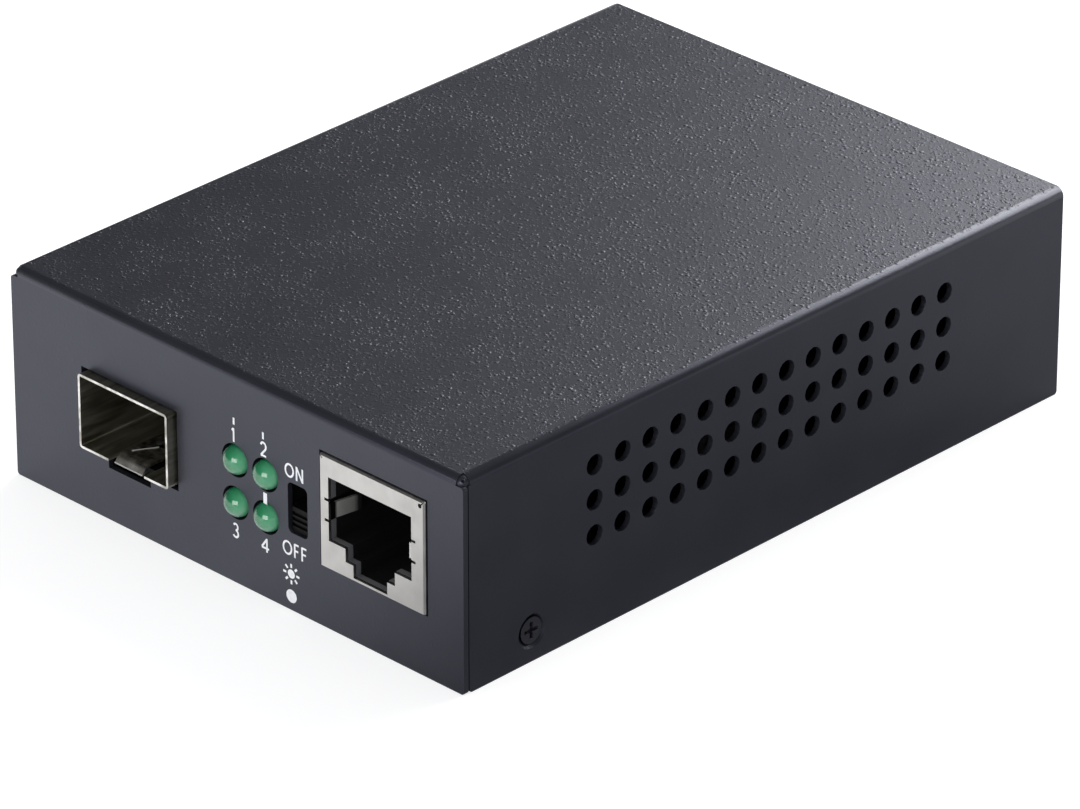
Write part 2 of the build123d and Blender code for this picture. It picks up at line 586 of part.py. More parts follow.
# Plastic housing of the network socket
HOUSING_FRONT = SOCKET_FRONT + SHIELD_SHEET + SHIELD_FIT_GAP
HOUSING_REAR = SOCKET_FRONT + SOCKET_DEPTH - SHIELD_SHEET - SHIELD_FIT_GAP
HOUSING_TOP = SHIELD_TOP - SHIELD_SHEET - SHIELD_FIT_GAP
HOUSING_WIDTH = SOCKET_WIDTH - 2 * (SHIELD_SHEET + SHIELD_FIT_GAP)
POCKET_TOP = SOCKET_BOTTOM + PLUG_TOP + WIRE_POCKET_HEIGHT
with BuildPart() as socket_housing:
    with BuildSketch(BOARD_FACE.offset(SOCKET_SEAT_GAP)):
        with Locations((SOCKET_CENTRE, HOUSING_FRONT)):
            Rectangle(HOUSING_WIDTH, HOUSING_REAR - HOUSING_FRONT, align=STANDING)
    extrude(amount=HOUSING_TOP - SOCKET_BOTTOM)
    with BuildSketch(Plane.XZ.offset(-HOUSING_FRONT)):
        socket_outline(SHIELD_FIT_GAP)
    extrude(amount=-PLUG_DEPTH, mode=Mode.SUBTRACT)
    # Pocket over the plug for the contact wires
    with BuildSketch(Plane.XZ.offset(-HOUSING_FRONT - WIRE_SETBACK)):
        with Locations((PLUG_CENTRE, POCKET_TOP)):
            Rectangle(WIRE_POCKET_WIDTH, 2 * WIRE_POCKET_HEIGHT, align=(Align.CENTER, Align.MAX))
    extrude(amount=WIRE_SETBACK - PLUG_DEPTH, mode=Mode.SUBTRACT)
    # Clearance for the side springs
    with BuildSketch(Plane.XZ.offset(-HOUSING_FRONT)):
        with Locations((PLUG_CENTRE, SOCKET_BOTTOM + (SLIT_LOW + SLIT_HIGH) / 2)):
            Rectangle(PLUG_WIDTH + 2 * SLIT_DEPTH, SLIT_HIGH - SLIT_LOW)
    extrude(amount=-SIDE_SPRING_LENGTH, mode=Mode.SUBTRACT)
save(socket_housing, "socket_housing")

# Contact wires: anchored at the rear, bent back over the plug and sloping down
WIRE_TOP = POCKET_TOP - WIRE_THICKNESS
with BuildPart() as wire:
    with BuildSketch(Plane.YZ.offset(PLUG_CENTRE - WIRE_WIDTH / 2)):
        with BuildLine():
            Polyline(
                (HOUSING_FRONT + WIRE_SETBACK + WIRE_SPAN, WIRE_TOP - WIRE_DROP),
                (HOUSING_FRONT + WIRE_SETBACK + WIRE_BEND, WIRE_TOP - WIRE_BEND),
                (HOUSING_FRONT + WIRE_SETBACK + 2 * WIRE_BEND, WIRE_TOP),
                (HOUSING_FRONT + PLUG_DEPTH, WIRE_TOP),
            )
            offset(amount=WIRE_THICKNESS, side=Side.RIGHT, kind=Kind.INTERSECTION)
        make_face()
    extrude(amount=WIRE_WIDTH)
with BuildPart() as socket_wires:
    with GridLocations(WIRE_PITCH, 0, WIRES, 1):
        add(wire.part)
save(socket_wires, "socket_wires")

# Side springs: strips folded into the socket from the edges of its opening
with BuildPart() as socket_springs:
    for side in (-1, 1):
        with BuildSketch(Plane.XY.offset(SOCKET_BOTTOM + SLIT_LOW + SLIT_HEIGHT)):
            with BuildLine():
                Polyline(
                    (PLUG_CENTRE + side * (PLUG_WIDTH / 2), SOCKET_FRONT),
                    (PLUG_CENTRE + side * (PLUG_WIDTH / 2), SOCKET_FRONT + SHIELD_SHEET),
                    (
                        PLUG_CENTRE + side * (PLUG_WIDTH / 2 - SIDE_SPRING_LEAN),
                        SOCKET_FRONT + SIDE_SPRING_LENGTH,
                    ),
                    (
                        PLUG_CENTRE + side * (PLUG_WIDTH / 2 - SIDE_SPRING_LEAN - SHIELD_SHEET),
                        SOCKET_FRONT + SIDE_SPRING_LENGTH,
                    ),
                    (PLUG_CENTRE + side * (PLUG_WIDTH / 2 - SHIELD_SHEET), SOCKET_FRONT),
                    close=True,
                )
            make_face()
        extrude(amount=SLIT_HIGH - SLIT_LOW - 2 * SLIT_HEIGHT)
save(socket_springs, "socket_springs")

# Status lights: many-sided stems that end in domes
LIGHTS = {
    "fibre_light": (-1, 1),
    "copper_light": (1, 1),
    "power_light": (-1, -1),
    "speed_light": (1, -1),
}
DOME_BASE = LIGHT_PROUD - LIGHT_RADIUS
LIGHT_BACK = DOME_BASE - LIGHT_LENGTH
DOME_INSET = LIGHT_RADIUS * cos(pi / LIGHT_SIDES)
DOME_STEPS = []
for low, high in zip(DOME_ANGLES, DOME_ANGLES[1:]):
    rise = LIGHT_RADIUS * (sin(radians(high)) - sin(radians(low)))
    inset = DOME_INSET * (cos(radians(low)) - cos(radians(high)))
    DOME_STEPS.append((rise, degrees(atan2(inset, rise))))
for label, (column, row) in LIGHTS.items():
    x = LIGHT_CENTRE + column * LIGHT_PITCH_ACROSS / 2
    z = LIGHT_MIDDLE + row * LIGHT_PITCH_UP / 2
    with BuildPart() as light:
        with BuildSketch(FRONT_FACE.offset(LIGHT_BACK)):
            with Locations((x, z)):
                RegularPolygon(LIGHT_RADIUS, LIGHT_SIDES)
        extrude(amount=LIGHT_LENGTH)
        for rise, taper in DOME_STEPS:
            extrude(light.faces().sort_by(Axis.Y)[0], amount=rise, taper=taper)
    save(light, label)

# Holder that carries the four lights at the edge of the board
LIGHT_BORE_RADIUS = LIGHT_RADIUS + LIGHT_BORE_GAP
with BuildPart() as light_holder:
    with BuildSketch(Plane.XZ.offset(-HOLDER_FRONT)):
        with Locations((LIGHT_CENTRE, BOARD_TOP)):
            Rectangle(
                LIGHT_PITCH_ACROSS + 2 * HOLDER_MARGIN,
                LIGHT_RISE + LIGHT_PITCH_UP + HOLDER_MARGIN,
                align=STANDING,
            )
        with Locations((LIGHT_CENTRE, LIGHT_MIDDLE)):
            with GridLocations(LIGHT_PITCH_ACROSS, LIGHT_PITCH_UP, 2, 2):
                RegularPolygon(
                    LIGHT_BORE_RADIUS, HIDDEN_BORE_SIDES, major_radius=False, mode=Mode.SUBTRACT
                )
    extrude(amount=-HOLDER_DEPTH)
save(light_holder, "light_holder")

# Leads: back from each light, then down to the board
LEAD_START = FRONT - LIGHT_BACK
LEAD_REAR = HOLDER_FRONT + HOLDER_DEPTH + LEAD_REACH
LEAD_BEND = 2 * LEAD_SIZE
with BuildPart() as light_leads:
    for column, row in LIGHTS.values():
        z = LIGHT_MIDDLE + row * LIGHT_PITCH_UP / 2 + LEAD_SIZE / 2
        rear = LEAD_REAR + (row + 1) * LEAD_REACH / 2
        for lead in (-1, 1):
            x = LIGHT_CENTRE + column * LIGHT_PITCH_ACROSS / 2 + lead * LEAD_SPREAD - LEAD_SIZE / 2
            with BuildSketch(Plane.YZ.offset(x)):
                with BuildLine():
                    Polyline(
                        (LEAD_START, z),
                        (rear - LEAD_BEND, z),
                        (rear, z - LEAD_BEND),
                        (rear, BOARD_TOP),
                    )
                    offset(amount=LEAD_SIZE, side=Side.RIGHT, kind=Kind.INTERSECTION)
                make_face()
            extrude(amount=LEAD_SIZE)
save(light_leads, "light_leads")

# Slide switch body with a channel open to the front
with BuildPart() as switch_body:
    with BuildSketch(Plane.XZ.offset(-SWITCH_FRONT)):
        with Locations((SLOT_CENTRE, BOARD_TOP)):
            Rectangle(
                SLIDER_ROOT_WIDTH + 2 * (SLIDER_GAP + SWITCH_WALL),
                SLOT_RISE + SLOT_HEIGHT + SWITCH_ROOF,
                align=STANDING,
            )
    extrude(amount=-SWITCH_DEPTH)
    with BuildSketch(Plane.XZ.offset(-SWITCH_FRONT)):
        with Locations((SLOT_CENTRE, SLOT_MIDDLE)):
            Rectangle(SLIDER_ROOT_WIDTH + 2 * SLIDER_GAP, SLOT_HEIGHT)
    extrude(amount=-SLIDER_ROOT_DEPTH - 2 * SLIDER_GAP, mode=Mode.SUBTRACT)
save(switch_body, "switch_body")

# Slider at the lower end of its slot: a wide root and a ridged thumb piece
SLIDER_FRONT = FRONT + SLIDER_RECESS
SLIDER_ROOT_FRONT = SWITCH_FRONT + SLIDER_GAP
with BuildPart() as switch_slider:
    with BuildSketch(Plane.XZ.offset(-SLIDER_FRONT)):
        with Locations((SLOT_CENTRE, SLOT_BOTTOM + SLIDER_GAP)):
            Rectangle(SLOT_WIDTH - 2 * SLIDER_SIDE_GAP, SLIDER_HEIGHT, align=STANDING)
    extrude(amount=SLIDER_FRONT - SLIDER_ROOT_FRONT)
    # Ridges are what is left between the grooves
    with BuildSketch(Plane.XZ.offset(-SLIDER_FRONT)):
        with Locations((SLOT_CENTRE, SLOT_BOTTOM + SLIDER_GAP + SLIDER_HEIGHT / 2)):
            with GridLocations(0, RIDGE_PITCH, 1, RIDGE_COUNT - 1):
                Rectangle(SLOT_WIDTH, RIDGE_PITCH - RIDGE_WIDTH)
    extrude(amount=-RIDGE_DEPTH, mode=Mode.SUBTRACT)
    with BuildSketch(Plane.XZ.offset(-SLIDER_ROOT_FRONT)):
        with Locations((SLOT_CENTRE, SLOT_BOTTOM + SLIDER_GAP)):
            Rectangle(SLIDER_ROOT_WIDTH, SLIDER_HEIGHT, align=STANDING)
    extrude(amount=-SLIDER_ROOT_DEPTH)
save(switch_slider, "switch_slider")

# Power inlet: a block on the board with a round collar through the rear wall
JACK_FACE = Plane.XZ.offset(-JACK_REAR)
JACK_COLLAR_FACE = Plane.XZ.offset(-JACK_COLLAR_REAR)
JACK_BORE_END = JACK_COLLAR_REAR - JACK_BORE_DEPTH
with BuildPart() as jack_housing:
    with BuildSketch(JACK_FACE):
        with Locations((JACK_CENTRE, BOARD_TOP)):
            Rectangle(JACK_WIDTH, JACK_HEIGHT, align=STANDING)
    extrude(amount=JACK_DEPTH)
    with BuildSketch(JACK_COLLAR_FACE):
        with Locations((JACK_CENTRE, JACK_AXIS)):
            Circle(JACK_COLLAR_RADIUS)
    extrude(amount=JACK_COLLAR_REAR - JACK_REAR)
    with BuildSketch(JACK_COLLAR_FACE):
        with Locations((JACK_CENTRE, JACK_AXIS)):
            Circle(JACK_BORE_RADIUS)
    extrude(amount=JACK_BORE_DEPTH, mode=Mode.SUBTRACT)
    # Groove beside the bore for the leaf
    with BuildSketch(JACK_FACE.offset(JACK_BORE_DEPTH - JACK_COLLAR_REAR + JACK_REAR)):
        with Locations((JACK_CENTRE, JACK_AXIS)):
            Rectangle(
                JACK_LEAF_WIDTH + 2 * JACK_SIDE_GAP,
                JACK_BORE_RADIUS + JACK_GROOVE_DEPTH,
                align=(Align.CENTER, Align.MAX),
            )
    extrude(amount=-JACK_LEAF_LENGTH, mode=Mode.SUBTRACT)
save(jack_housing, "jack_housing")

with BuildPart() as jack_pin:
    with BuildSketch(Plane.XZ.offset(-JACK_BORE_END)):
        with Locations((JACK_CENTRE, JACK_AXIS)):
            Circle(JACK_PIN_RADIUS)
    extrude(amount=JACK_PIN_RECESS - JACK_BORE_DEPTH)
    chamfer(jack_pin.edges().filter_by(GeomType.CIRCLE).sort_by(Axis.Y)[-1], JACK_PIN_TIP)
save(jack_pin, "jack_pin")

# Leaf that presses on the side of a plug
JACK_LEAF_BOTTOM = JACK_AXIS - JACK_BORE_RADIUS - JACK_GROOVE_DEPTH
with BuildPart() as jack_leaf:
    add_fold(
        Plane.YZ.offset(JACK_CENTRE - JACK_LEAF_WIDTH / 2),
        [
            (JACK_BORE_END, JACK_LEAF_BOTTOM + JACK_LEAF_THICKNESS),
            (JACK_BORE_END + JACK_LEAF_LENGTH / 3, JACK_LEAF_BOTTOM + JACK_LEAF_THICKNESS),
            (JACK_BORE_END + JACK_LEAF_LENGTH * 2 / 3, JACK_AXIS - JACK_BORE_RADIUS + JACK_LEAF_THICKNESS),
            (JACK_BORE_END + JACK_LEAF_LENGTH, JACK_LEAF_BOTTOM + 2 * JACK_LEAF_THICKNESS),
        ],
        JACK_LEAF_WIDTH,
        JACK_LEAF_THICKNESS,
        JACK_LEAF_THICKNESS,
    )
save(jack_leaf, "jack_leaf")


def behind_socket(shift):
    """Gives the place on the board at a shift from the middle of the network socket's rear."""
    return SOCKET_CENTRE + shift[0], SOCKET_REAR + shift[1]


def behind_cage(shift):
    """Gives the place on the board at a shift from the middle of the module cage's rear."""
    return CAGE_CENTRE + shift[0], CAGE_REAR + shift[1]


def add_block(size, place, height):
    """Adds a block with its foot at a height above the board."""
    with Locations((*place, BOARD_TOP + height)):
        Box(*size, align=BOTTOM)


def gull_lead(rise):
    """Makes one gull-wing lead that leaves a body at a height and ends on the board."""
    with BuildPart() as lead:
        with BuildSketch(Plane.XZ.offset(-CHIP_LEAD_WIDTH / 2)):
            with BuildLine():
                Polyline(
                    (0, rise),
                    (CHIP_LEAD_REACH / 2, rise),
                    (CHIP_LEAD_REACH / 2, CHIP_LEAD_THICKNESS),
                    (CHIP_LEAD_REACH, CHIP_LEAD_THICKNESS),
                )
                offset(amount=CHIP_LEAD_THICKNESS, side=Side.RIGHT, kind=Kind.INTERSECTION)
            make_face()
        extrude(amount=CHIP_LEAD_WIDTH)
    return lead.part


def save_can(label, radius, height, shift):
    """Makes an upright electrolytic capacitor with a bevelled top edge, behind the cage."""
    with BuildPart() as can:
        with BuildSketch(BOARD_FACE):
            with Locations(behind_cage(shift)):
                Circle(radius)
        extrude(amount=height)
        chamfer(can.edges().group_by(Axis.Z)[-1], CAN_EDGE)
    save(can, label)


# Network transformer and its leads
TRANSFORMER_PLACE = behind_socket(TRANSFORMER_SHIFT)
with BuildPart() as lan_transformer:
    add_block(TRANSFORMER_SIZE, TRANSFORMER_PLACE, CHIP_STANDOFF)
save(lan_transformer, "lan_transformer")
transformer_lead = gull_lead(CHIP_STANDOFF + TRANSFORMER_SIZE[2] / 2)
with BuildPart() as transformer_leads:
    with Locations((*TRANSFORMER_PLACE, BOARD_TOP)):
        with PolarLocations(TRANSFORMER_SIZE[1] / 2, 2, start_angle=90):
            with GridLocations(0, TRANSFORMER_LEAD_PITCH, 1, TRANSFORMER_LEADS):
                add(transformer_lead)
save(transformer_leads, "transformer_leads")

# Converter chip and its leads
CHIP_PLACE = behind_socket(CHIP_SHIFT)
with BuildPart() as converter_chip:
    add_block(CHIP_SIZE, CHIP_PLACE, CHIP_STANDOFF)
save(converter_chip, "converter_chip")
chip_lead = gull_lead(CHIP_STANDOFF + CHIP_SIZE[2] / 2)
with BuildPart() as chip_leads:
    with Locations((*CHIP_PLACE, BOARD_TOP)):
        with PolarLocations(CHIP_SIZE[0] / 2, 4):
            with GridLocations(0, CHIP_LEAD_PITCH, 1, CHIP_LEADS):
                add(chip_lead)
save(chip_leads, "chip_leads")

with BuildPart() as memory_chip:
    add_block(MEMORY_SIZE, behind_socket(MEMORY_SHIFT), 0)
save(memory_chip, "memory_chip")

# Voltage regulator with its soldered tab
REGULATOR_X, REGULATOR_Y = behind_cage(REGULATOR_SHIFT)
with BuildPart() as voltage_regulator:
    add_block(REGULATOR_SIZE, (REGULATOR_X, REGULATOR_Y), 0)
    tab_y = REGULATOR_Y + (REGULATOR_SIZE[1] + REGULATOR_TAB[1]) / 2
    add_block(REGULATOR_TAB, (REGULATOR_X, tab_y), 0)
save(voltage_regulator, "voltage_regulator")

with BuildPart() as power_inductor:
    with BuildSketch(BOARD_FACE):
        with Locations(behind_cage(INDUCTOR_SHIFT)):
            RectangleRounded(INDUCTOR_SIZE[0], INDUCTOR_SIZE[1], INDUCTOR_SIZE[0] / 5)
    extrude(amount=INDUCTOR_SIZE[2])
save(power_inductor, "power_inductor")

with BuildPart() as crystal_can:
    with BuildSketch(BOARD_FACE):
        with Locations(behind_socket(CRYSTAL_SHIFT)):
            SlotOverall(CRYSTAL_LENGTH, CRYSTAL_WIDTH, rotation=90)
    extrude(amount=CRYSTAL_HEIGHT)
save(crystal_can, "crystal_can")

save_can("input_capacitor", INPUT_CAN_RADIUS, INPUT_CAN_HEIGHT, INPUT_CAN_SHIFT)
save_can("output_capacitor", OUTPUT_CAN_RADIUS, OUTPUT_CAN_HEIGHT, OUTPUT_CAN_SHIFT)

# Small soldered parts in rows
for label, shift in (("chip_resistors", RESISTORS_SHIFT), ("chip_capacitors", CAPACITORS_SHIFT)):
    with BuildPart() as small_parts:
        with BuildSketch(BOARD_FACE):
            with Locations(behind_socket(shift)):
                with GridLocations(SMALL_PITCH, SMALL_PITCH, SMALL_COLUMNS, SMALL_ROWS):
                    Rectangle(SMALL_SIZE[0], SMALL_SIZE[1])
        extrude(amount=SMALL_SIZE[2])
    save(small_parts, label)
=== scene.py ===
import logging
import math
from dataclasses import dataclass, field
from enum import Enum

import bmesh
import bpy
import numpy as np
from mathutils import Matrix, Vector


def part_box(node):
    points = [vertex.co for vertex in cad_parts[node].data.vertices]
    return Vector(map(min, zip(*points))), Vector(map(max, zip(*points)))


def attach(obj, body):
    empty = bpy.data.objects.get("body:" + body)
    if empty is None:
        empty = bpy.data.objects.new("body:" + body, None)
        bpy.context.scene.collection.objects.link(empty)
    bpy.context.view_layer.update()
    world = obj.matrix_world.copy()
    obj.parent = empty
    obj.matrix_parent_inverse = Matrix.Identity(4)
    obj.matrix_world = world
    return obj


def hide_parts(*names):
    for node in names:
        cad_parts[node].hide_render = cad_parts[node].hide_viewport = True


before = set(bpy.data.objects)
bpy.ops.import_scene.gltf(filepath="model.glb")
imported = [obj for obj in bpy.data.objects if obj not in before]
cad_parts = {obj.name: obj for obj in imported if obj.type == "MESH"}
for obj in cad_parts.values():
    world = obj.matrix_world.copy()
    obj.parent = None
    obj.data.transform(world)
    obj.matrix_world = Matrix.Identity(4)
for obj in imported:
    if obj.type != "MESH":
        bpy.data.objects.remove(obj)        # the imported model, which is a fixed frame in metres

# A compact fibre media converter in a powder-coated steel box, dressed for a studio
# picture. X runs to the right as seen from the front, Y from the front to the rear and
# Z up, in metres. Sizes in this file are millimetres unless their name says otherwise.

log = logging.getLogger("converter")
MM = 0.001
# Most values of a noise texture lie between these two
NOISE_LOW, NOISE_HIGH = 0.3, 0.7

Point = tuple[float, float, float]
Stops = list[tuple[float, str]]
Tree = bpy.types.NodeTree
Socket = bpy.types.NodeSocket


class Body(str, Enum):
    """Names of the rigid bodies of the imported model."""

    HOUSING = "housing"
    SLIDER = "slider"


def linear(code: str) -> tuple[float, float, float, float]:
    """Turns an sRGB hex code into linear light.

    Args:
        code: The colour as "#rrggbb".

    Returns:
        Red, green and blue in linear light, and 1 for full cover.
    """
    values = [int(code[i:i + 2], 16) / 255 for i in (1, 3, 5)]
    red, green, blue = [v / 12.92 if v <= 0.04045 else ((v + 0.055) / 1.055) ** 2.4
                        for v in values]
    return red, green, blue, 1.0


def per_metre(size_mm: float) -> float:
    """Gives the texture scale at which one period of a pattern is size_mm long."""
    return 1 / (size_mm * MM)


def add_node(tree: Tree, kind: str, inputs: dict | tuple = (), stops: Stops = (),
             **settings) -> bpy.types.Node:
    """Adds a shader node with its settings, its inputs and, on a ramp, its colours.

    Args:
        tree: The node tree to add to.
        kind: The node's type name after "ShaderNode".
        inputs: Values or output sockets, by the inputs' names or in their order.
        stops: Rising places on a ramp, each with its hex code.
        settings: Properties of the node itself.

    Returns:
        The new node.
    """
    node = tree.nodes.new("ShaderNode" + kind)
    for name, value in settings.items():
        setattr(node, name, value)
    for key, value in inputs.items() if isinstance(inputs, dict) else enumerate(inputs):
        if isinstance(value, Socket):
            tree.links.new(value, node.inputs[key])
        else:
            node.inputs[key].default_value = value
    for index, (place, code) in enumerate(stops):
        elements = node.color_ramp.elements
        element = elements[index] if index < len(elements) else elements.new(place)
        element.position = place
        element.color = linear(code)
    return node


@dataclass(frozen=True)
class Finish:
    """A finish of one real material, made into a Blender material when it is first used."""

    name: str = "finish"
    colour: str = "#808080"
    roughness: float = 0.5

    def material(self) -> bpy.types.Material:
        """Returns the Blender material of this finish, and makes it if there is none yet."""
        found = bpy.data.materials.get(self.name + "_finish")
        if found:
            return found
        made = bpy.data.materials.new(self.name + "_finish")
        made.use_nodes = True
        made.node_tree.nodes.clear()
        surface = self.surface(made.node_tree)
        add_node(made.node_tree, "OutputMaterial", {"Surface": surface})
        made.diffuse_color = linear(self.colour)
        return made

    def place(self, tree: Tree) -> Socket:
        """Returns the object coordinates, which are the row frame's metres."""
        return add_node(tree, "TexCoord").outputs["Object"]

    def facing(self, tree: Tree, axis: int) -> Socket:
        """Returns how far the surface faces along x, y or z, from -1 to 1."""
        normal = add_node(tree, "TexCoord").outputs["Normal"]
        return add_node(tree, "SeparateXYZ", (normal,)).outputs[axis]

    def noise(self, tree: Tree, size: float, detail: float = 2.0,
              stretch: Point = (1, 1, 1)) -> Socket:
        """Adds noise whose lumps have a real size.

        Args:
            tree: The material's node tree.
            size: The size of a lump in millimetres.
            detail: How many finer layers the noise has.
            stretch: How much denser the pattern is along each axis.

        Returns:
            The noise's grey output, from 0 to 1.
        """
        scaled = add_node(tree, "Mapping", {"Vector": self.place(tree), "Scale": stretch})
        return add_node(tree, "TexNoise", {
            "Vector": scaled.outputs[0], "Scale": per_metre(size), "Detail": detail}).outputs[0]

    def surface(self, tree: Tree) -> Socket:
        """Builds the finish's nodes and returns the shader, in each kind of finish its own way."""
        raise NotImplementedError


@dataclass(frozen=True)
class PowderCoat(Finish):
    """Polyester powder coat, sprayed and baked: near black, with a satin gloss and fine grains.

    The grains hardly show on a face that mirrors an even field, and stand out as flecks,
    dark on one side and bright on the other, on a face that mirrors the edge of a lamp.
    Their cell was set to the flecks of the real coat, which show in a render of the
    whole box. What is finer is too fine to show, and only the roughness stands for it.
    """

    name: str = "powder_coat"
    colour: str = "#26272d"
    dark: str = "#212228"
    tint: str = "#e4e7ff"
    roughness: float = 0.38
    ior: float = 1.63
    cell: float = 0.66
    fine_share: float = 0.6
    cloud: float = 9.0
    relief: float = 0.066
    side_share: float = 0.16

    def lumps(self, tree: Tree, cell: float) -> Socket:
        """Scatters low round grains, at most one to a cell of the given size, and many left out.

        A grain's height falls from 1 near the cell's own point to 0 at 0.45 of the cell
        away, and the cell's random number scales it from nothing to full.
        """
        wavy = add_node(tree, "TexNoise", {
            "Vector": self.place(tree), "Scale": per_metre(cell / 2)}).outputs["Color"]
        shift = add_node(tree, "VectorMath", {0: wavy, "Scale": 0.3 * cell * MM},
                         operation="SCALE").outputs[0]
        place = add_node(tree, "VectorMath", (self.place(tree), shift), operation="ADD")
        cells = add_node(tree, "TexVoronoi", {
            "Vector": place.outputs[0], "Scale": per_metre(cell)}).outputs
        near = add_node(tree, "MapRange", (cells["Distance"], 0.08, 0.45, 1.0, 0.0),
                        interpolation_type="SMOOTHSTEP").outputs[0]
        chance = add_node(tree, "SeparateColor", (cells["Color"],)).outputs[0]
        size = add_node(tree, "MapRange", (chance, 0.15, 0.95, 0.0, 1.0)).outputs[0]
        return add_node(tree, "Math", (near, size), operation="MULTIPLY").outputs[0]

    def surface(self, tree: Tree) -> Socket:
        """Grains of two sizes, denser in slow clouds and boldest on the side sprayed most."""
        cloud = self.noise(tree, self.cloud)
        coarse = self.lumps(tree, self.cell)
        fine = self.lumps(tree, 0.5 * self.cell)
        both = add_node(tree, "Math", (fine, self.fine_share, coarse),
                        operation="MULTIPLY_ADD").outputs[0]
        dense = add_node(tree, "MapRange", (cloud, 0.38, 0.62, 0.55, 1.0)).outputs[0]
        up = self.facing(tree, 2)
        sprayed = add_node(tree, "MapRange", (up, 0.9, 0.99, self.side_share, 1.0)).outputs[0]
        powder = add_node(tree, "Math", (dense, sprayed), operation="MULTIPLY").outputs[0]
        height = add_node(tree, "Math", (both, powder), operation="MULTIPLY").outputs[0]
        return add_node(tree, "BsdfPrincipled", {
            "Base Color": add_node(tree, "ValToRGB", (cloud,), [
                (0.35, self.dark), (0.65, self.colour)]).outputs[0],
            "Roughness": self.roughness,
            "IOR": self.ior,
            "Specular Tint": linear(self.tint),
            "Normal": add_node(tree, "Bump", {
                "Height": height, "Distance": self.relief * MM, "Strength": 1.0}).outputs[0],
        }).outputs[0]


@dataclass(frozen=True)
class Metal(Finish):
    """A plated or bare metal, brushed along one axis, with faint handling marks."""

    brush: Point = (1, 1, 1)
    grain: float = 0.5
    relief: float = 0.004
    dull: str = "#8a8a8a"

    def colouring(self, tree: Tree, streak: Socket) -> Socket:
        """The plating dulls in slow clouds, six times as large as its streaks."""
        cloud = self.noise(tree, 6 * self.grain)
        return add_node(tree, "ValToRGB", (cloud,), [
            (0.3, self.dull), (0.6, self.colour)]).outputs[0]

    def surface(self, tree: Tree) -> Socket:
        """Fine streaks in the gloss and the relief, over the metal's own colouring."""
        streak = self.noise(tree, self.grain, 3.0, self.brush)
        return add_node(tree, "BsdfPrincipled", {
            "Base Color": self.colouring(tree, streak),
            "Metallic": 1.0,
            "Roughness": add_node(tree, "MapRange", (
                streak, NOISE_LOW, NOISE_HIGH,
                self.roughness - 0.06, self.roughness + 0.08)).outputs[0],
            "Normal": add_node(tree, "Bump", {
                "Height": streak, "Distance": self.relief * MM, "Strength": 1.0}).outputs[0],
        }).outputs[0]


@dataclass(frozen=True)
class CutSheet(Metal):
    """Dull plated sheet whose sheared front edges show bright metal."""

    edge: str = "#f0eeea"
    worn_edge: str = "#a9a69d"

    def colouring(self, tree: Tree, streak: Socket) -> Socket:
        """What faces forward is the bright shear, and the rest is the streaked plating."""
        plating = add_node(tree, "ValToRGB", (streak,), [
            (0.3, self.dull), (0.65, self.colour)]).outputs[0]
        shear = add_node(tree, "ValToRGB", (self.noise(tree, 1.6),), [
            (0.38, self.edge), (0.6, self.worn_edge)]).outputs[0]
        ahead = self.facing(tree, 1)
        cut = add_node(tree, "MapRange", (ahead, -0.9, -0.6, 1.0, 0.0)).outputs[0]
        return add_node(tree, "Mix", {"Factor": cut, "A": plating, "B": shear},
                        data_type="RGBA").outputs["Result"]


@dataclass(frozen=True)
class SideTabs(Metal):
    """Spring tabs of the socket: the left one has a painted dark reflection at its fold and its
    tip.
    """

    middle: float = 0.0
    front: float = 0.0
    length: float = 4.0
    # Painted dark reflections of the socket on the left tab, at its fold and at its tip
    fold_shade_painted: str = "#161617"
    tip_shade_painted: str = "#3c3c3d"

    def surface(self, tree: Tree) -> Socket:
        """The left tab is painted dark over its first fifth, at its fold, and fades over its last
        quarter to a darker tip: painted dark reflections of the socket.
        """
        place = add_node(tree, "SeparateXYZ", (self.place(tree),)).outputs
        along = add_node(tree, "MapRange", (
            place[1], self.front * MM, (self.front + self.length) * MM, 0.0, 1.0)).outputs[0]
        # Painted shade along the left tab: dark at the fold, then the plain metal, then darker
        # toward the tip
        painted_shade_ramp = add_node(tree, "ValToRGB", (along,), [
            (0.15, self.fold_shade_painted), (0.22, self.colour), (0.74, self.dull), (0.9, self.tip_shade_painted)])
        left = add_node(tree, "MapRange", (
            place[0], (self.middle - 0.1) * MM, (self.middle + 0.1) * MM, 1.0, 0.0)).outputs[0]
        plain = add_node(tree, "ValToRGB", (self.noise(tree, 2.0),), [
            (0.3, self.dull), (0.6, self.colour)])
        colour = add_node(tree, "Mix", {
            "Factor": left, "A": plain.outputs[0], "B": painted_shade_ramp.outputs[0]}, data_type="RGBA")
        streak = self.noise(tree, self.grain, 3.0)
        return add_node(tree, "BsdfPrincipled", {
            "Base Color": colour.outputs["Result"],
            "Metallic": 1.0,
            "Roughness": add_node(tree, "MapRange", (
                streak, NOISE_LOW, NOISE_HIGH,
                self.roughness - 0.05, self.roughness + 0.05)).outputs[0],
        }).outputs[0]


@dataclass(frozen=True)
class MouldedPlastic(Finish):
    """Injection-moulded plastic with the fine spark texture of its mould."""

    grain: float = 0.3
    relief: float = 0.006
    sheen: float = 0.5

    def surface(self, tree: Tree) -> Socket:
        """Even colour, with the mould's texture in the relief and the gloss."""
        grain = self.noise(tree, self.grain, 3.0)
        return add_node(tree, "BsdfPrincipled", {
            "Base Color": linear(self.colour),
            "Roughness": add_node(tree, "MapRange", (
                grain, NOISE_LOW, NOISE_HIGH,
                self.roughness - 0.06, self.roughness + 0.06)).outputs[0],
            "Specular IOR Level": self.sheen,
            "Normal": add_node(tree, "Bump", {
                "Height": grain, "Distance": self.relief * MM, "Strength": 1.0}).outputs[0],
        }).outputs[0]


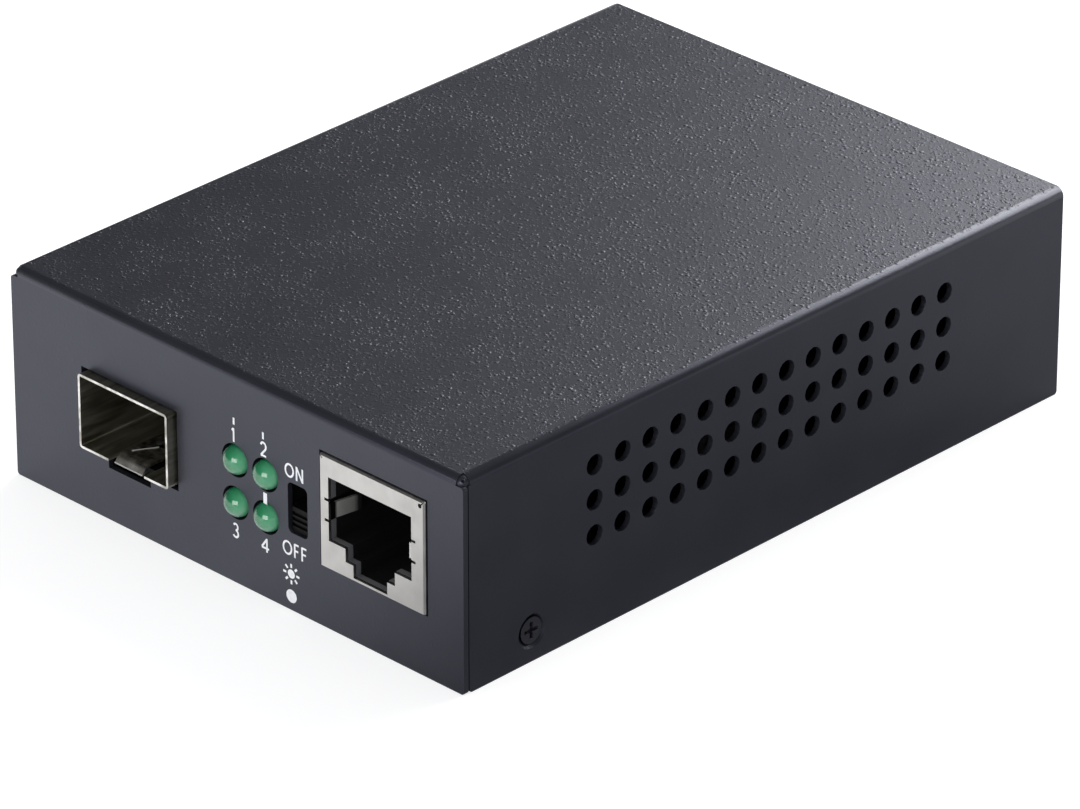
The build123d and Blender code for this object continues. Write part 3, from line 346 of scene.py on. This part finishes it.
@dataclass(frozen=True)
class TintedLens(Finish):
    """Diffused green epoxy, cast round the chip of a light: milky inside, glossy outside."""

    name: str = "green_lens"
    colour: str = "#2f8f62"
    # The first of these greens is painted shade on the dome's left side, and the rim green is
    # painted light on its right side
    shade_painted_green: str = "#0f4a30"
    body: str = "#2b8359"
    rim: str = "#63b58a"
    roughness: float = 0.12
    ior: float = 1.52

    def surface(self, tree: Tree) -> Socket:
        """The green is painted lighter the more the dome faces right and darker the more it faces
        left, as painted light and shade, through faint swirls of the epoxy.
        """
        swirl = self.noise(tree, 1.4)
        across = self.facing(tree, 0)
        # Painted light and shade: lighter where the dome faces right, darker where it faces left
        painted_light_side = add_node(tree, "MapRange", (across, -0.8, 0.95, -0.1, 0.85)).outputs[0]
        depth = add_node(tree, "Math", (swirl, 0.25, painted_light_side), operation="MULTIPLY_ADD")
        return add_node(tree, "BsdfPrincipled", {
            "Base Color": add_node(tree, "ValToRGB", (depth.outputs[0],), [
                (0.05, self.shade_painted_green), (0.5, self.body), (0.95, self.rim)]).outputs[0],
            "Roughness": self.roughness,
            "Subsurface Weight": 0.6,
            "Subsurface Radius": (0.3, 1.0, 0.5),
            "Subsurface Scale": 1.2 * MM,
            "IOR": self.ior,
            "Coat Weight": 1.0,
            "Coat Roughness": 0.06,
        }).outputs[0]


@dataclass(frozen=True)
class PrintInk(Finish):
    """White screen-print ink: a thin matt film that takes the coat's grain."""

    name: str = "print_ink"
    colour: str = "#fbfcff"
    thin: str = "#f1f2f7"
    roughness: float = 0.55

    def surface(self, tree: Tree) -> Socket:
        """The film is a little thinner where the grain stands up."""
        grain = self.noise(tree, 0.4, 3.0)
        return add_node(tree, "BsdfPrincipled", {
            "Base Color": add_node(tree, "ValToRGB", (grain,), [
                (0.3, self.thin), (0.5, self.colour)]).outputs[0],
            "Roughness": self.roughness,
            "Normal": add_node(tree, "Bump", {
                "Height": grain, "Distance": 0.01 * MM, "Strength": 1.0}).outputs[0],
        }).outputs[0]


POWDER_COAT = PowderCoat()
PRINT_INK = PrintInk()
GREEN_LENS = TintedLens()
# Bare steel along a fresh cut or a worn fold: a thin bright line
EDGE_PLATE = Metal("sheared_edge", "#f4f3f0", 0.6, dull="#dedcd8")
# Tinned spring steel that modules have rubbed: blotchy grey with a bright front edge
LATCH_PLATE = CutSheet("latch_plate", "#a19e96", 0.42, grain=0.8, relief=0.05, dull="#4b4944")
# The socket's insulator at its mouth: matt grey that stays just above the black behind it
LIP_PLASTIC = MouldedPlastic("lip_plastic", "#656567", 0.6, sheen=0.2)

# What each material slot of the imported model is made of
FINISHES: dict[str, Finish] = {
    "powder_coat": POWDER_COAT,
    # Black passivated zinc, a dark film with the satin gloss of the screw under it
    "black_zinc": PowderCoat("black_zinc", "#2b2b2f", 0.36, dark="#232327", relief=0.008),
    # Zinc-plated turned steel: cool grey, evenly bright
    "plated_steel": Metal("plated_steel", "#b8babd", 0.32, dull="#96989b"),
    # Solder mask over glass laminate: dark green, painted nearly black as the shade inside the box
    "solder_mask": MouldedPlastic("solder_mask", "#06100b", 0.6, grain=0.8, sheen=0.3),
    # Nickel-silver sheet, rolled along the bay: an olive cast, and bright where it is cut
    "cage_sheet": CutSheet("cage_sheet", "#b8b5a8", 0.4, (1, 0.1, 1), dull="#94917f"),
    # Nickel-plated brass sheet, brushed upright: a warm pale grey
    "nickel_shield": Metal("nickel_shield", "#cfcdca", 0.36, (1, 1, 0.2), dull="#c3c1be"),
    # Hard gold on the contacts: the one warm colour, deep inside the openings
    "gold_contact": Metal("gold_contact", "#d9ab55", 0.25, dull="#b98d3d"),
    # Bright tin on the leads of the board's parts
    "tinned_lead": Metal("tinned_lead", "#c6c9cc", 0.35, dull="#a4a7aa"),
    # Glass-filled nylon from a sparked mould: black with a soft gloss
    "black_plastic": MouldedPlastic("black_plastic", "#151517", 0.42),
    # Acetal of the slider: black, and so matt that its ribs barely show
    "slider_plastic": MouldedPlastic("slider_plastic", "#070708", 0.6, sheen=0.18),
    "green_lens": GREEN_LENS,
    # Drawn aluminium of the capacitors' cans: clean and bright
    "can_aluminium": Metal("can_aluminium", "#c9cccf", 0.28, dull="#b2b5b8"),
    # Moulded epoxy and ceramic bodies of the chips: dark grey, matt
    "ceramic_chip": MouldedPlastic("ceramic_chip", "#1c1c1f", 0.55, grain=0.2),
}


def limits(name: str) -> tuple[np.ndarray, np.ndarray]:
    """Gives a node's lowest and highest corners at rest in millimetres."""
    low, high = (np.array(corner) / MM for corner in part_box(name))
    return low, high


def mesh_from(name: str, points: np.ndarray, faces: np.ndarray) -> bpy.types.Object:
    """Makes an object from arrays of points in millimetres and of faces.

    Args:
        name: The object's name.
        points: An array of n by 3 coordinates in millimetres.
        faces: An array of m by 3 or m by 4 indices.

    Returns:
        The new object, linked to the scene.
    """
    mesh = bpy.data.meshes.new(name)
    mesh.from_pydata((points * MM).tolist(), [], faces.tolist())
    mesh.update()
    made = bpy.data.objects.new(name, mesh)
    bpy.context.scene.collection.objects.link(made)
    return made


def ring_faces(rings: int, sides: int) -> np.ndarray:
    """Numbers the four-sided faces between rings of points that are listed ring by ring.

    A face joins the points (i, j), (i, j + 1), (i + 1, j + 1) and (i + 1, j), for ring i
    and column j, where the column after the last is the first.
    """
    row, column = np.meshgrid(np.arange(rings - 1), np.arange(sides), indexing="ij")
    after = (column + 1) % sides
    corners = (row, column), (row, after), (row + 1, after), (row + 1, column)
    return np.stack([i * sides + j for i, j in corners], -1).reshape(-1, 4)


def close_rings(made: bpy.types.Object) -> None:
    """Merges the points of rings of no radius and shades the piece smooth."""
    work = bmesh.new()
    work.from_mesh(made.data)
    bmesh.ops.remove_doubles(work, verts=work.verts, dist=1e-6)
    bmesh.ops.recalc_face_normals(work, faces=work.faces)
    for face in work.faces:
        face.smooth = True
    work.to_mesh(made.data)
    work.free()


def turned_surface(name: str, centre: Point, reach: np.ndarray, radius: np.ndarray,
                   sides: int) -> bpy.types.Object:
    """Turns a profile about a line that runs forward, along minus Y.

    A point of ring i and column j is centre + radius_i * (cos t_j, 0, sin t_j)
    - reach_i along Y, where t_j goes once round. Both ends close in a point.

    Args:
        name: The object's name.
        centre: A point on the axis in millimetres.
        reach: How far forward each ring lies, rising, in millimetres.
        radius: The radius of each ring in millimetres.
        sides: The number of columns.

    Returns:
        The new smooth object.
    """
    angle = np.linspace(0, 2 * math.pi, sides, endpoint=False)
    points = np.empty((len(reach), sides, 3))
    points[..., 0] = centre[0] + radius[:, None] * np.cos(angle)
    points[..., 1] = centre[1] - reach[:, None]
    points[..., 2] = centre[2] + radius[:, None] * np.sin(angle)
    made = mesh_from(name, points.reshape(-1, 3), ring_faces(len(reach), sides))
    close_rings(made)
    return made


def dress(made: bpy.types.Object, finish: Finish, body: Body) -> None:
    """Gives a new piece its finish, lets it ride on a body and reports it.

    Args:
        made: The new piece.
        finish: What it is made of.
        body: The rigid body that carries it.
    """
    made.data.materials.clear()
    made.data.materials.append(finish.material())
    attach(made, body.value)
    log.info("%s made, rides on %s", made.name, body.value)


def dress_node(name: str, finish: Finish | None = None) -> None:
    """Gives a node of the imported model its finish, by its material slot or as given."""
    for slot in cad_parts[name].material_slots:
        chosen = finish or FINISHES[slot.material.name.split(".")[0]]
        slot.material = chosen.material()
        log.info("%s finished in %s", name, chosen.name)


def soften(name: str, width: float) -> None:
    """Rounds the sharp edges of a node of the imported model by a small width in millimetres."""
    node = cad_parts[name]
    weld = node.modifiers.new("weld", "WELD")
    weld.merge_threshold = 0.002 * MM
    bevel = node.modifiers.new("soft_edges", "BEVEL")
    bevel.width = width * MM
    bevel.segments = 2
    bevel.limit_method = "ANGLE"
    bevel.angle_limit = math.radians(40)
    bevel.use_clamp_overlap = True
    bevel.harden_normals = True


@dataclass
class Housing:
    """The folded cover, the tray under it, the two side screws and the corner bosses."""

    edge_round: float = 0.12
    screw_round: float = 0.06
    # The boss's top lies this far inside the corner, along the diagonal
    boss_inset: float = 0.86
    boss_radius: float = 0.8
    boss_sides: int = 32
    # Angles from the diagonal at which the pit and the boss end, in degrees
    pit: float = 17.0
    boss_end: float = 75.0

    def build(self) -> None:
        """Dresses the sheet metal and rounds its cut edges a little."""
        for name, width in (("cover", self.edge_round), ("base_tray", self.edge_round),
                            ("cover_screws", self.screw_round)):
            dress_node(name)
            soften(name, width)
        for side in (1, -1):
            for end in (1, -1):
                self.corner_boss(side, end)
        log.info("housing dressed")

    def corner_boss(self, side: int, end: int) -> None:
        """Makes the small drawn boss where three walls meet, with a pit in its middle.

        A point at the angle b from the corner's diagonal lies r from the boss's centre. r is
        the boss's radius, and inside the pit it is that times 1 - 0.5 (1 - b / pit).

        Args:
            side: 1 for the right corner and -1 for the left.
            end: 1 for the rear corner and -1 for the front.
        """
        low, high = limits("cover")
        corner = np.array([(low, high)[side > 0][0], (low, high)[end > 0][1], high[2]])
        axis = np.array([side, end, 1]) / math.sqrt(3)
        across = np.cross(axis, (0, 0, 1))
        across /= np.linalg.norm(across)
        up = np.cross(axis, across)
        bend = np.concatenate([np.linspace(0, self.pit, 5),
                               np.linspace(self.pit + 2, self.boss_end, 14)])
        sunk = np.where(bend < self.pit, 1 - 0.5 * (1 - bend / self.pit), 1.0)
        turn = np.linspace(0, 2 * math.pi, self.boss_sides, endpoint=False)
        b, t = np.radians(bend)[:, None, None], turn[None, :, None]
        shell = axis * np.cos(b) + np.sin(b) * (across * np.cos(t) + up * np.sin(t))
        shell *= self.boss_radius * sunk[:, None, None]
        points = corner - axis * (self.boss_inset + self.boss_radius) + shell
        name = f"corner_boss_{'right' if side > 0 else 'left'}_{'rear' if end > 0 else 'front'}"
        made = mesh_from(name, points.reshape(-1, 3), ring_faces(len(bend), self.boss_sides))
        close_rings(made)
        dress(made, POWDER_COAT, Body.HOUSING)


@dataclass
class StatusLights:
    """Four round-ended lights whose smooth domes stand for the many-sided solids."""

    names: tuple[str, ...] = ("fibre_light", "copper_light", "power_light", "speed_light")
    sides: int = 48
    rings: int = 20

    def build(self) -> None:
        """Makes one dome on each light's own place."""
        for name in self.names:
            self.dome(name)
        log.info("status lights made")

    def dome(self, name: str) -> None:
        """Makes a stem that ends in half a ball.

        Along the ball the radius is R cos a and the reach base + R sin a, for a from
        0 to 90 degrees.
        """
        low, high = limits(name)
        radius = (high[0] - low[0]) / 2
        centre = ((low[0] + high[0]) / 2, high[1], (low[2] + high[2]) / 2)
        length = high[1] - low[1]
        angle = np.linspace(0, math.pi / 2, self.rings)
        reach = np.concatenate([[0, 0], length - radius + radius * np.sin(angle)])
        spread = np.concatenate([[0, radius], radius * np.cos(angle)])
        made = turned_surface(name + "_dome", centre, reach, spread, self.sides)
        dress(made, GREEN_LENS, Body.HOUSING)
        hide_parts(name)


@dataclass
class Fittings:
    """The socket, the bay, the switch, the inlet and the board with its parts."""

    rounded: dict[str, float] = field(default_factory=lambda: {
        "socket_shield": 0.08,
        "sfp_cage": 0.05,
        "switch_slider": 0.08,
        "jack_housing": 0.15,
        "socket_springs": 0.04,
    })
    # The ends of the latch's fold, from its left, its front and its top
    fold_start: Point = (0.72, 1.93, 0.0)
    fold_end: Point = (2.07, 4.73, -0.13)
    # From the shield's middle to the mouth's, and from the shield's top to the socket's foot
    mouth_shift: float = -0.275
    socket_height: float = 13.6
    # The mouth's edge above and below the left tab, as (x, z) from its middle and the foot
    mouth_upper: tuple[tuple[float, float], ...] = ((-6.25, 11.0), (-6.25, 8.35))
    mouth_lower: tuple[tuple[float, float], ...] = (
        (-6.25, 5.75), (-6.25, 3.4), (-3.725, 3.4), (-3.725, 1.8), (-2.55, 1.8), (-2.55, 0.3),
        (2.55, 0.3), (2.55, 1.8), (3.725, 1.8), (3.725, 3.4), (6.2, 3.4))

    def build(self) -> None:
        """Dresses every node that isn't dressed yet, and rounds the ones that show."""
        for name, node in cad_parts.items():
            if not any(slot.material and slot.material.name.endswith("_finish")
                       for slot in node.material_slots):
                dress_node(name)
        dress_node("sfp_latch", LATCH_PLATE)
        low, high = limits("socket_springs")
        dress_node("socket_springs", SideTabs(
            "side_tabs", "#e4e3e0", 0.62, dull="#cfcecb",
            middle=(low[0] + high[0]) / 2, front=low[1]))
        self.latch_crease()
        self.latch_edge()
        self.mouth_lip("upper", np.array(self.mouth_upper))
        self.mouth_lip("lower", np.array(self.mouth_lower))
        for name, width in self.rounded.items():
            soften(name, width)
        log.info("fittings dressed")

    def latch_crease(self, half: float = 0.1, height: float = 0.13) -> None:
        """Makes the fold of the latch's far edge, a low ridge that catches the light."""
        low, high = limits("sfp_latch")
        origin = np.array([low[0], low[1], high[2]])
        start, end = origin + self.fold_start, origin + self.fold_end
        along = (end - start) / np.linalg.norm(end - start)
        side = np.cross(along, (0, 0, 1)) * half
        ridge = np.array([0, 0, height])
        points = np.array([start - side, start + side, end + side, end - side,
                           start + ridge, end + ridge])
        made = mesh_from("latch_crease", points, np.array([(1, 2, 5, 4), (3, 0, 4, 5)]))
        dress(made, EDGE_PLATE, Body.HOUSING)

    def latch_edge(self, curl: float = 1.0, gap: float = 0.04, width: float = 0.15) -> None:
        """Makes the sheared front edge of the latch, a strip on the slope of its curled end.

        The slope faces out and climbs along rise, which are both given as (y, z).
        """
        low, high = limits("sfp_latch")
        out, rise = np.array((-0.82, 0.57)), np.array((0.57, 0.82))
        near = np.array((low[1], high[2] - curl)) + gap * out
        far = near + width * rise
        corners = [(low[0], *near), (high[0], *near), (high[0], *far), (low[0], *far)]
        made = mesh_from("latch_edge", np.array(corners), np.array([[0, 1, 2, 3]]))
        dress(made, EDGE_PLATE, Body.HOUSING)

    def mouth_lip(self, name: str, line: np.ndarray, depth: float = 0.75, inset: float = 0.07,
                  behind: float = 0.32) -> None:
        """Lines a run of the socket's stepped mouth with the grey edge of its insulator.

        The run is carried back from behind the shield's sheet by the depth, and stands
        clear of the mouth's walls by the inset.
        """
        low, high = limits("socket_shield")
        centre, foot = (low[0] + high[0]) / 2 + self.mouth_shift, high[2] - self.socket_height
        across = centre + line[:, 0] - np.sign(line[:, 0]) * inset
        up = foot + line[:, 1] + inset
        count = len(line)
        points = np.vstack([np.column_stack([across, np.full(count, low[1] + behind + back), up])
                            for back in (0.0, depth)])
        first = np.arange(count - 1)
        faces = np.column_stack([first, first + 1, first + 1 + count, first + count])
        made = mesh_from(f"mouth_lip_{name}", points, faces)
        dress(made, LIP_PLASTIC, Body.HOUSING)


def arc(x: float, z: float, across: float, up: float, start: float, end: float,
        steps: int = 18) -> list:
    """Gives points (x + across cos a, z + up sin a) for a from start to end in degrees."""
    angle = np.radians(np.linspace(start, end, steps))
    return np.column_stack([x + across * np.cos(angle), z + up * np.sin(angle)]).tolist()


# Strokes of each character, in widths and heights of a letter that is 1 wide and 1 high
GLYPHS: dict[str, list[list]] = {
    "O": [arc(0.5, 0.5, 0.5, 0.5, 90, 450, 41)],
    "N": [[(0, 0), (0, 1)], [(0.02, 0.96), (0.98, 0.04)], [(1, 0), (1, 1)]],
    "F": [[(0, 0), (0, 1)], [(0, 0.965), (1, 0.965)], [(0, 0.52), (0.88, 0.52)]],
    "1": [[(0.12, 0.8), (0.62, 0.97)], [(0.62, 0), (0.62, 1)]],
    "2": [arc(0.5, 0.7, 0.46, 0.28, 165, -35) + [(0.06, 0.04)], [(0, 0.04), (1, 0.04)]],
    "3": [arc(0.45, 0.75, 0.42, 0.23, 150, -90), arc(0.45, 0.27, 0.5, 0.25, 90, -150)],
    "4": [[(0.7, 0), (0.7, 1)], [(0.7, 0.95), (0.02, 0.3)], [(0, 0.28), (1, 0.28)]],
}


@dataclass
class Legends:
    """White print on the front: numerals, ON and OFF, ticks and two plain symbols."""

    film: float = 0.02
    layer: float = 0.004
    pen: float = 0.25
    # Character, left edge, foot, width and height, to the outside of the strokes
    letters: tuple[tuple[str, float, float, float, float], ...] = (
        ("O", 8.09, 16.27, 1.45, 1.74), ("N", 9.80, 16.29, 1.16, 1.70),
        ("O", 7.58, 6.67, 1.50, 1.76), ("F", 9.33, 6.70, 0.87, 1.70),
        ("F", 10.46, 6.70, 0.93, 1.70),
        ("1", -0.22, 17.35, 0.8, 1.7), ("2", 4.30, 17.35, 1.1, 1.7),
        ("3", -0.22, 5.65, 1.05, 1.7), ("4", 4.2, 5.65, 1.4, 1.7),
    )
    # Middle, width and height of the ticks over the lights and of the bar between two
    bars: tuple[tuple[float, float, float, float], ...] = (
        (0.29, 19.9, 0.28, 0.85), (4.82, 19.83, 0.28, 0.85), (5.0, 12.27, 0.58, 1.34),
    )

    def build(self) -> None:
        """Makes each mark as a thin film on the front wall."""
        for index, letter in enumerate(self.letters):
            self.letter(f"print_letter_{index}", *letter)
        for index, bar in enumerate(self.bars):
            self.bar(f"print_bar_{index}", *bar)
        self.sunburst("print_sunburst", x=8.86, z=4.48, radius=0.54, start=0.77, end=1.25)
        self.disc("print_dot", x=8.84, z=1.74, radius=0.8)
        log.info("front print made")

    def film_from(self, name: str, outline: np.ndarray, faces: np.ndarray,
                  lift: np.ndarray | float = 0.0) -> None:
        """Makes flat marks on the front wall, facing forward.

        Args:
            name: The object's name.
            outline: An array of n points (x, z).
            faces: An array of indices.
            lift: How far in front of the film each point lies.
        """
        ahead = limits("cover")[0][1] - self.film - np.broadcast_to(lift, len(outline))
        made = mesh_from(name, np.column_stack([outline[:, 0], ahead, outline[:, 1]]), faces)
        dress(made, PRINT_INK, Body.HOUSING)

    def ribbon(self, line: np.ndarray) -> tuple[np.ndarray, np.ndarray]:
        """Widens a line to a band of the pen's width.

        Each point p of the line gives p + m w/2 and p - m w/2, where m is the mean of the
        normals of the pieces of line that meet there, made as long as the corner needs,
        up to 1 / 0.6.

        Returns:
            The band's points and its four-sided faces.
        """
        run = np.diff(line, axis=0)
        run /= np.linalg.norm(run, axis=1)[:, None]
        normal = np.column_stack([-run[:, 1], run[:, 0]])
        joint = np.vstack([normal[:1], normal[:-1] + normal[1:], normal[-1:]])
        joint /= np.linalg.norm(joint, axis=1)[:, None]
        reach = np.concatenate([[1.0], (joint[1:-1] * normal[1:]).sum(1), [1.0]])
        side = joint * (self.pen / 2 / np.maximum(reach, 0.6))[:, None]
        if np.allclose(line[0], line[-1]):
            side[0] = side[-1] = (side[0] + side[-1]) / 2
        first, count = np.arange(len(line) - 1), len(line)
        faces = np.column_stack([first, first + count, first + count + 1, first + 1])
        return np.vstack([line + side, line - side]), faces

    def letter(self, name: str, text: str, x: float, z: float, width: float,
               height: float) -> None:
        """Draws one character with the pen, so that its strokes end at the given box.

        Each stroke lies a hair in front of the one before, so that no two share a plane.
        """
        points, faces, lift, count = [], [], [], 0
        for layer, stroke in enumerate(GLYPHS[text]):
            line = np.array(stroke, dtype=float)
            across = x + self.pen / 2 + line[:, 0] * (width - self.pen)
            level = (text == "O") * self.pen / 2
            up = z + level + line[:, 1] * (height - 2 * level)
            band, quads = self.ribbon(np.column_stack([across, up]))
            points.append(band)
            faces.append(quads + count)
            lift.append(np.full(len(band), self.layer * layer))
            count += len(band)
        self.film_from(name, np.vstack(points), np.vstack(faces), np.concatenate(lift))

    def bar(self, name: str, x: float, z: float, width: float, height: float) -> None:
        """Makes an upright bar centred on (x, z)."""
        outline = np.array([(x + i * width / 2, z + j * height / 2)
                            for i, j in ((-1, -1), (1, -1), (1, 1), (-1, 1))])
        self.film_from(name, outline, np.array([[0, 1, 2, 3]]))

    def disc(self, name: str, x: float, z: float, radius: float, sides: int = 40) -> None:
        """Makes a round dot as a fan of triangles about its middle."""
        angle = np.linspace(0, 2 * math.pi, sides, endpoint=False)
        rim = np.column_stack([x + radius * np.cos(angle), z + radius * np.sin(angle)])
        index = np.arange(sides)
        faces = np.column_stack([np.full(sides, sides), index, (index + 1) % sides])
        self.film_from(name, np.vstack([rim, [(x, z)]]), faces)

    def sunburst(self, name: str, x: float, z: float, radius: float, start: float,
                 end: float, rays: int = 8, half: float = 0.14) -> None:
        """Makes a dot with rays round it.

        Args:
            name: The name of the rays' object; the dot's ends in _dot.
            x: The middle's x.
            z: The middle's z.
            radius: The dot's radius.
            start: How far from the middle a ray starts.
            end: How far from the middle it ends.
            rays: The number of rays.
            half: Half the width of a ray.
        """
        self.disc(name + "_dot", x, z, radius)
        angle = np.arange(rays) * 2 * math.pi / rays
        out = np.column_stack([np.cos(angle), np.sin(angle)])
        side = np.column_stack([-np.sin(angle), np.cos(angle)]) * half
        centre = np.array([x, z])
        corners = np.stack([centre + out * start - side, centre + out * end - side,
                            centre + out * end + side, centre + out * start + side], 1)
        self.film_from(name, corners.reshape(-1, 2), np.arange(4 * rays).reshape(-1, 4))


@dataclass(frozen=True)
class SoftBox:
    """A lamp behind a flat diffuser that faces a point.

    Its brightness is how bright its face looks, where 1 is white. The matt share is how
    much of it lights matt surfaces, as through a grid.
    """

    name: str
    place: Point
    aim: Point
    size: tuple[float, float]
    brightness: float
    matt_share: float = 1.0

    def build(self) -> None:
        """Adds the lamp as a rectangle, which the camera doesn't see."""
        light = bpy.data.lights.new(self.name, "AREA")
        light.shape = "RECTANGLE"
        light.size, light.size_y = self.size[0] * MM, self.size[1] * MM
        light.energy = self.brightness * math.pi * light.size * light.size_y
        light.diffuse_factor = self.matt_share
        made = bpy.data.objects.new(self.name, light)
        bpy.context.scene.collection.objects.link(made)
        made.visible_camera = False
        made.location = Vector(self.place) * MM
        toward = Vector(self.aim) - Vector(self.place)
        made.rotation_euler = toward.to_track_quat("-Z", "Y").to_euler()


@dataclass
class Studio:
    """A pale floor with a grey card, soft boxes, and the camera at the photograph's angle."""

    eye: Point = (542.28, -553.72, 418.43)
    azimuth: float = 44.419
    elevation: float = 28.155
    lens: float = 261.79
    floor_half: float = 3000.0
    floor_level: float = -0.02
    paper_grey: float = 0.56
    paper_glow: float = 0.66
    # Around the box matt things see a fill that leans to the left, the front and upwards
    fill_dark: float = 0.28
    fill_bright: float = 0.75
    fill_lean: Point = (-0.76, -0.54, 0.36)
    fill_tint: Point = (0.95, 0.97, 1.0)
    # Gloss mirrors a room that is white below the first height and dark above the second
    room_heights: tuple[float, float] = (0.01, 0.12)
    room_dark: float = 0.06
    # The card's front left and rear right corners, and its cover from the left and rearward
    card_low: tuple[float, float] = (0, -400)
    card_high: tuple[float, float] = (400, 200)
    card_level: float = 0.1
    card_rise: float = 40.0
    card_fade: tuple[float, float] = (25.0, 75.0)
    card_rear: float = 0.74
    card_colour: Point = (0.25, 0.25, 0.26)
    lamps: tuple[SoftBox, ...] = (
        SoftBox("rear_box", (-62, 528, 276), (0, 0, 20), (560, 240), 6.7, 0.13),
        SoftBox("top_box", (14, 395, 465), (0, 0, 20), (460, 270), 2.8, 0.3),
        SoftBox("front_box", (175, -672, 165), (0, -40, 12), (480, 320), 4.2),
    )

    def build(self) -> None:
        """Makes the floor, the grey card, the world, the lamps and the camera."""
        self.floor()
        self.card()
        self.world()
        for lamp in self.lamps:
            lamp.build()
        self.camera()
        log.info("studio set")

    def painted(self, made: bpy.types.Object, name: str) -> Tree:
        """Gives a piece of the studio a new material and returns its empty node tree."""
        paint = bpy.data.materials.new(name)
        paint.use_nodes = True
        paint.node_tree.nodes.clear()
        made.data.materials.append(paint)
        return paint.node_tree

    def sheet(self, name: str, low: tuple[float, float], high: tuple[float, float],
              level: float) -> bpy.types.Object:
        """Makes a level rectangle between two corners (x, y)."""
        points = np.array([(*low, level), (high[0], low[1], level), (*high, level),
                           (low[0], high[1], level)])
        return mesh_from(name, points, np.array([[0, 1, 2, 3]]))

    def floor(self) -> None:
        """Makes white paper that looks even, takes the object's shadow and is clear from below."""
        half = self.floor_half
        made = self.sheet("studio_floor", (-half, -half), (half, half), self.floor_level)
        tree = self.painted(made, "floor_paper")
        grey = (self.paper_grey, self.paper_grey, self.paper_grey, 1)
        matt = add_node(tree, "BsdfDiffuse", {"Color": grey}).outputs[0]
        share = add_node(tree, "Math", (self.seen_directly(tree), self.paper_glow),
                         operation="MULTIPLY").outputs[0]
        glow = add_node(tree, "Emission", {"Color": (1, 1, 1, 1), "Strength": share}).outputs[0]
        paper = add_node(tree, "AddShader", (matt, glow)).outputs[0]
        below = add_node(tree, "NewGeometry").outputs["Backfacing"]
        clear = add_node(tree, "BsdfTransparent").outputs[0]
        shown = add_node(tree, "MixShader", (below, paper, clear)).outputs[0]
        add_node(tree, "OutputMaterial", {"Surface": shown})

    def card(self) -> None:
        """Lays grey card on the floor right of the box, which only reflections show.

        Its cover grows from nothing at its left edge to full, and fades toward the rear.
        """
        made = self.sheet("grey_card", self.card_low, self.card_high, self.card_level)
        tree = self.painted(made, "card_grey")
        toward = add_node(tree, "TexCoord").outputs["Object"]
        place = add_node(tree, "SeparateXYZ", (toward,)).outputs
        near = add_node(tree, "MapRange", (
            place[0], 0.0, self.card_rise * MM, 0.0, 1.0)).outputs[0]
        start, end = self.card_fade
        ahead = add_node(tree, "MapRange", (
            place[1], start * MM, end * MM, 1.0, self.card_rear)).outputs[0]
        cover = add_node(tree, "Math", (near, ahead), operation="MULTIPLY").outputs[0]
        clear = add_node(tree, "BsdfTransparent").outputs[0]
        grey = add_node(tree, "BsdfDiffuse", {"Color": (*self.card_colour, 1)}).outputs[0]
        shown = add_node(tree, "MixShader", (cover, clear, grey)).outputs[0]
        add_node(tree, "OutputMaterial", {"Surface": shown})
        made.visible_camera = made.visible_diffuse = made.visible_shadow = False

    def seen_directly(self, tree: Tree) -> Socket:
        """Gives 1 for what the camera, a mirror or glass shows, and 0 for light on matt things."""
        path = add_node(tree, "LightPath").outputs
        seen = add_node(tree, "Math", (path["Is Camera Ray"], path["Is Glossy Ray"]),
                        operation="MAXIMUM").outputs[0]
        return add_node(tree, "Math", (seen, path["Is Transmission Ray"]),
                        operation="MAXIMUM").outputs[0]

    def world(self) -> None:
        """Lights softly from all round, and shows the camera plain white."""
        made = bpy.data.worlds.new("studio_world")
        bpy.context.scene.world = made
        made.use_nodes = True
        tree = made.node_tree
        tree.nodes.clear()
        toward = add_node(tree, "TexCoord").outputs["Generated"]
        up = add_node(tree, "SeparateXYZ", (toward,)).outputs[2]
        room = add_node(tree, "MapRange", (
            up, *self.room_heights, 1.0, self.room_dark)).outputs[0]
        straight = add_node(tree, "LightPath").outputs["Is Camera Ray"]
        field_level = add_node(tree, "Math", (room, straight), operation="MAXIMUM").outputs[0]
        lean = add_node(tree, "VectorMath", (toward, self.fill_lean), operation="DOT_PRODUCT")
        level = add_node(tree, "MapRange", (
            lean.outputs["Value"], -1.0, 1.0, self.fill_dark, self.fill_bright)).outputs[0]
        fill = add_node(tree, "Background", {
            "Color": (*self.fill_tint, 1), "Strength": level})
        shown = add_node(tree, "Background", {"Color": (1, 1, 1, 1), "Strength": field_level})
        both = add_node(tree, "MixShader", (
            self.seen_directly(tree), fill.outputs[0], shown.outputs[0])).outputs[0]
        add_node(tree, "OutputWorld", {"Surface": both})

    def camera(self) -> None:
        """Sets the camera by its place, azimuth, elevation and focal length."""
        data = bpy.data.cameras.new("camera")
        data.lens = self.lens
        data.sensor_width = 36.0
        data.clip_start = 0.01
        made = bpy.data.objects.new("camera", data)
        bpy.context.scene.collection.objects.link(made)
        a, e = math.radians(self.azimuth), math.radians(self.elevation)
        back = Vector((math.sin(a) * math.cos(e), -math.cos(a) * math.cos(e), math.sin(e)))
        made.location = Vector(self.eye) * MM
        made.rotation_euler = (-back).to_track_quat("-Z", "Y").to_euler()
        bpy.context.scene.camera = made


def main() -> None:
    """Builds the dressed converter and its studio, in order."""
    logging.basicConfig(level=logging.INFO, format="%(name)s: %(message)s")
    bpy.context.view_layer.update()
    bpy.context.scene.view_settings.view_transform = "Standard"
    for part in (Housing(), StatusLights(), Fittings(), Legends(), Studio()):
        part.build()


if __name__ == "__main__":
    main()
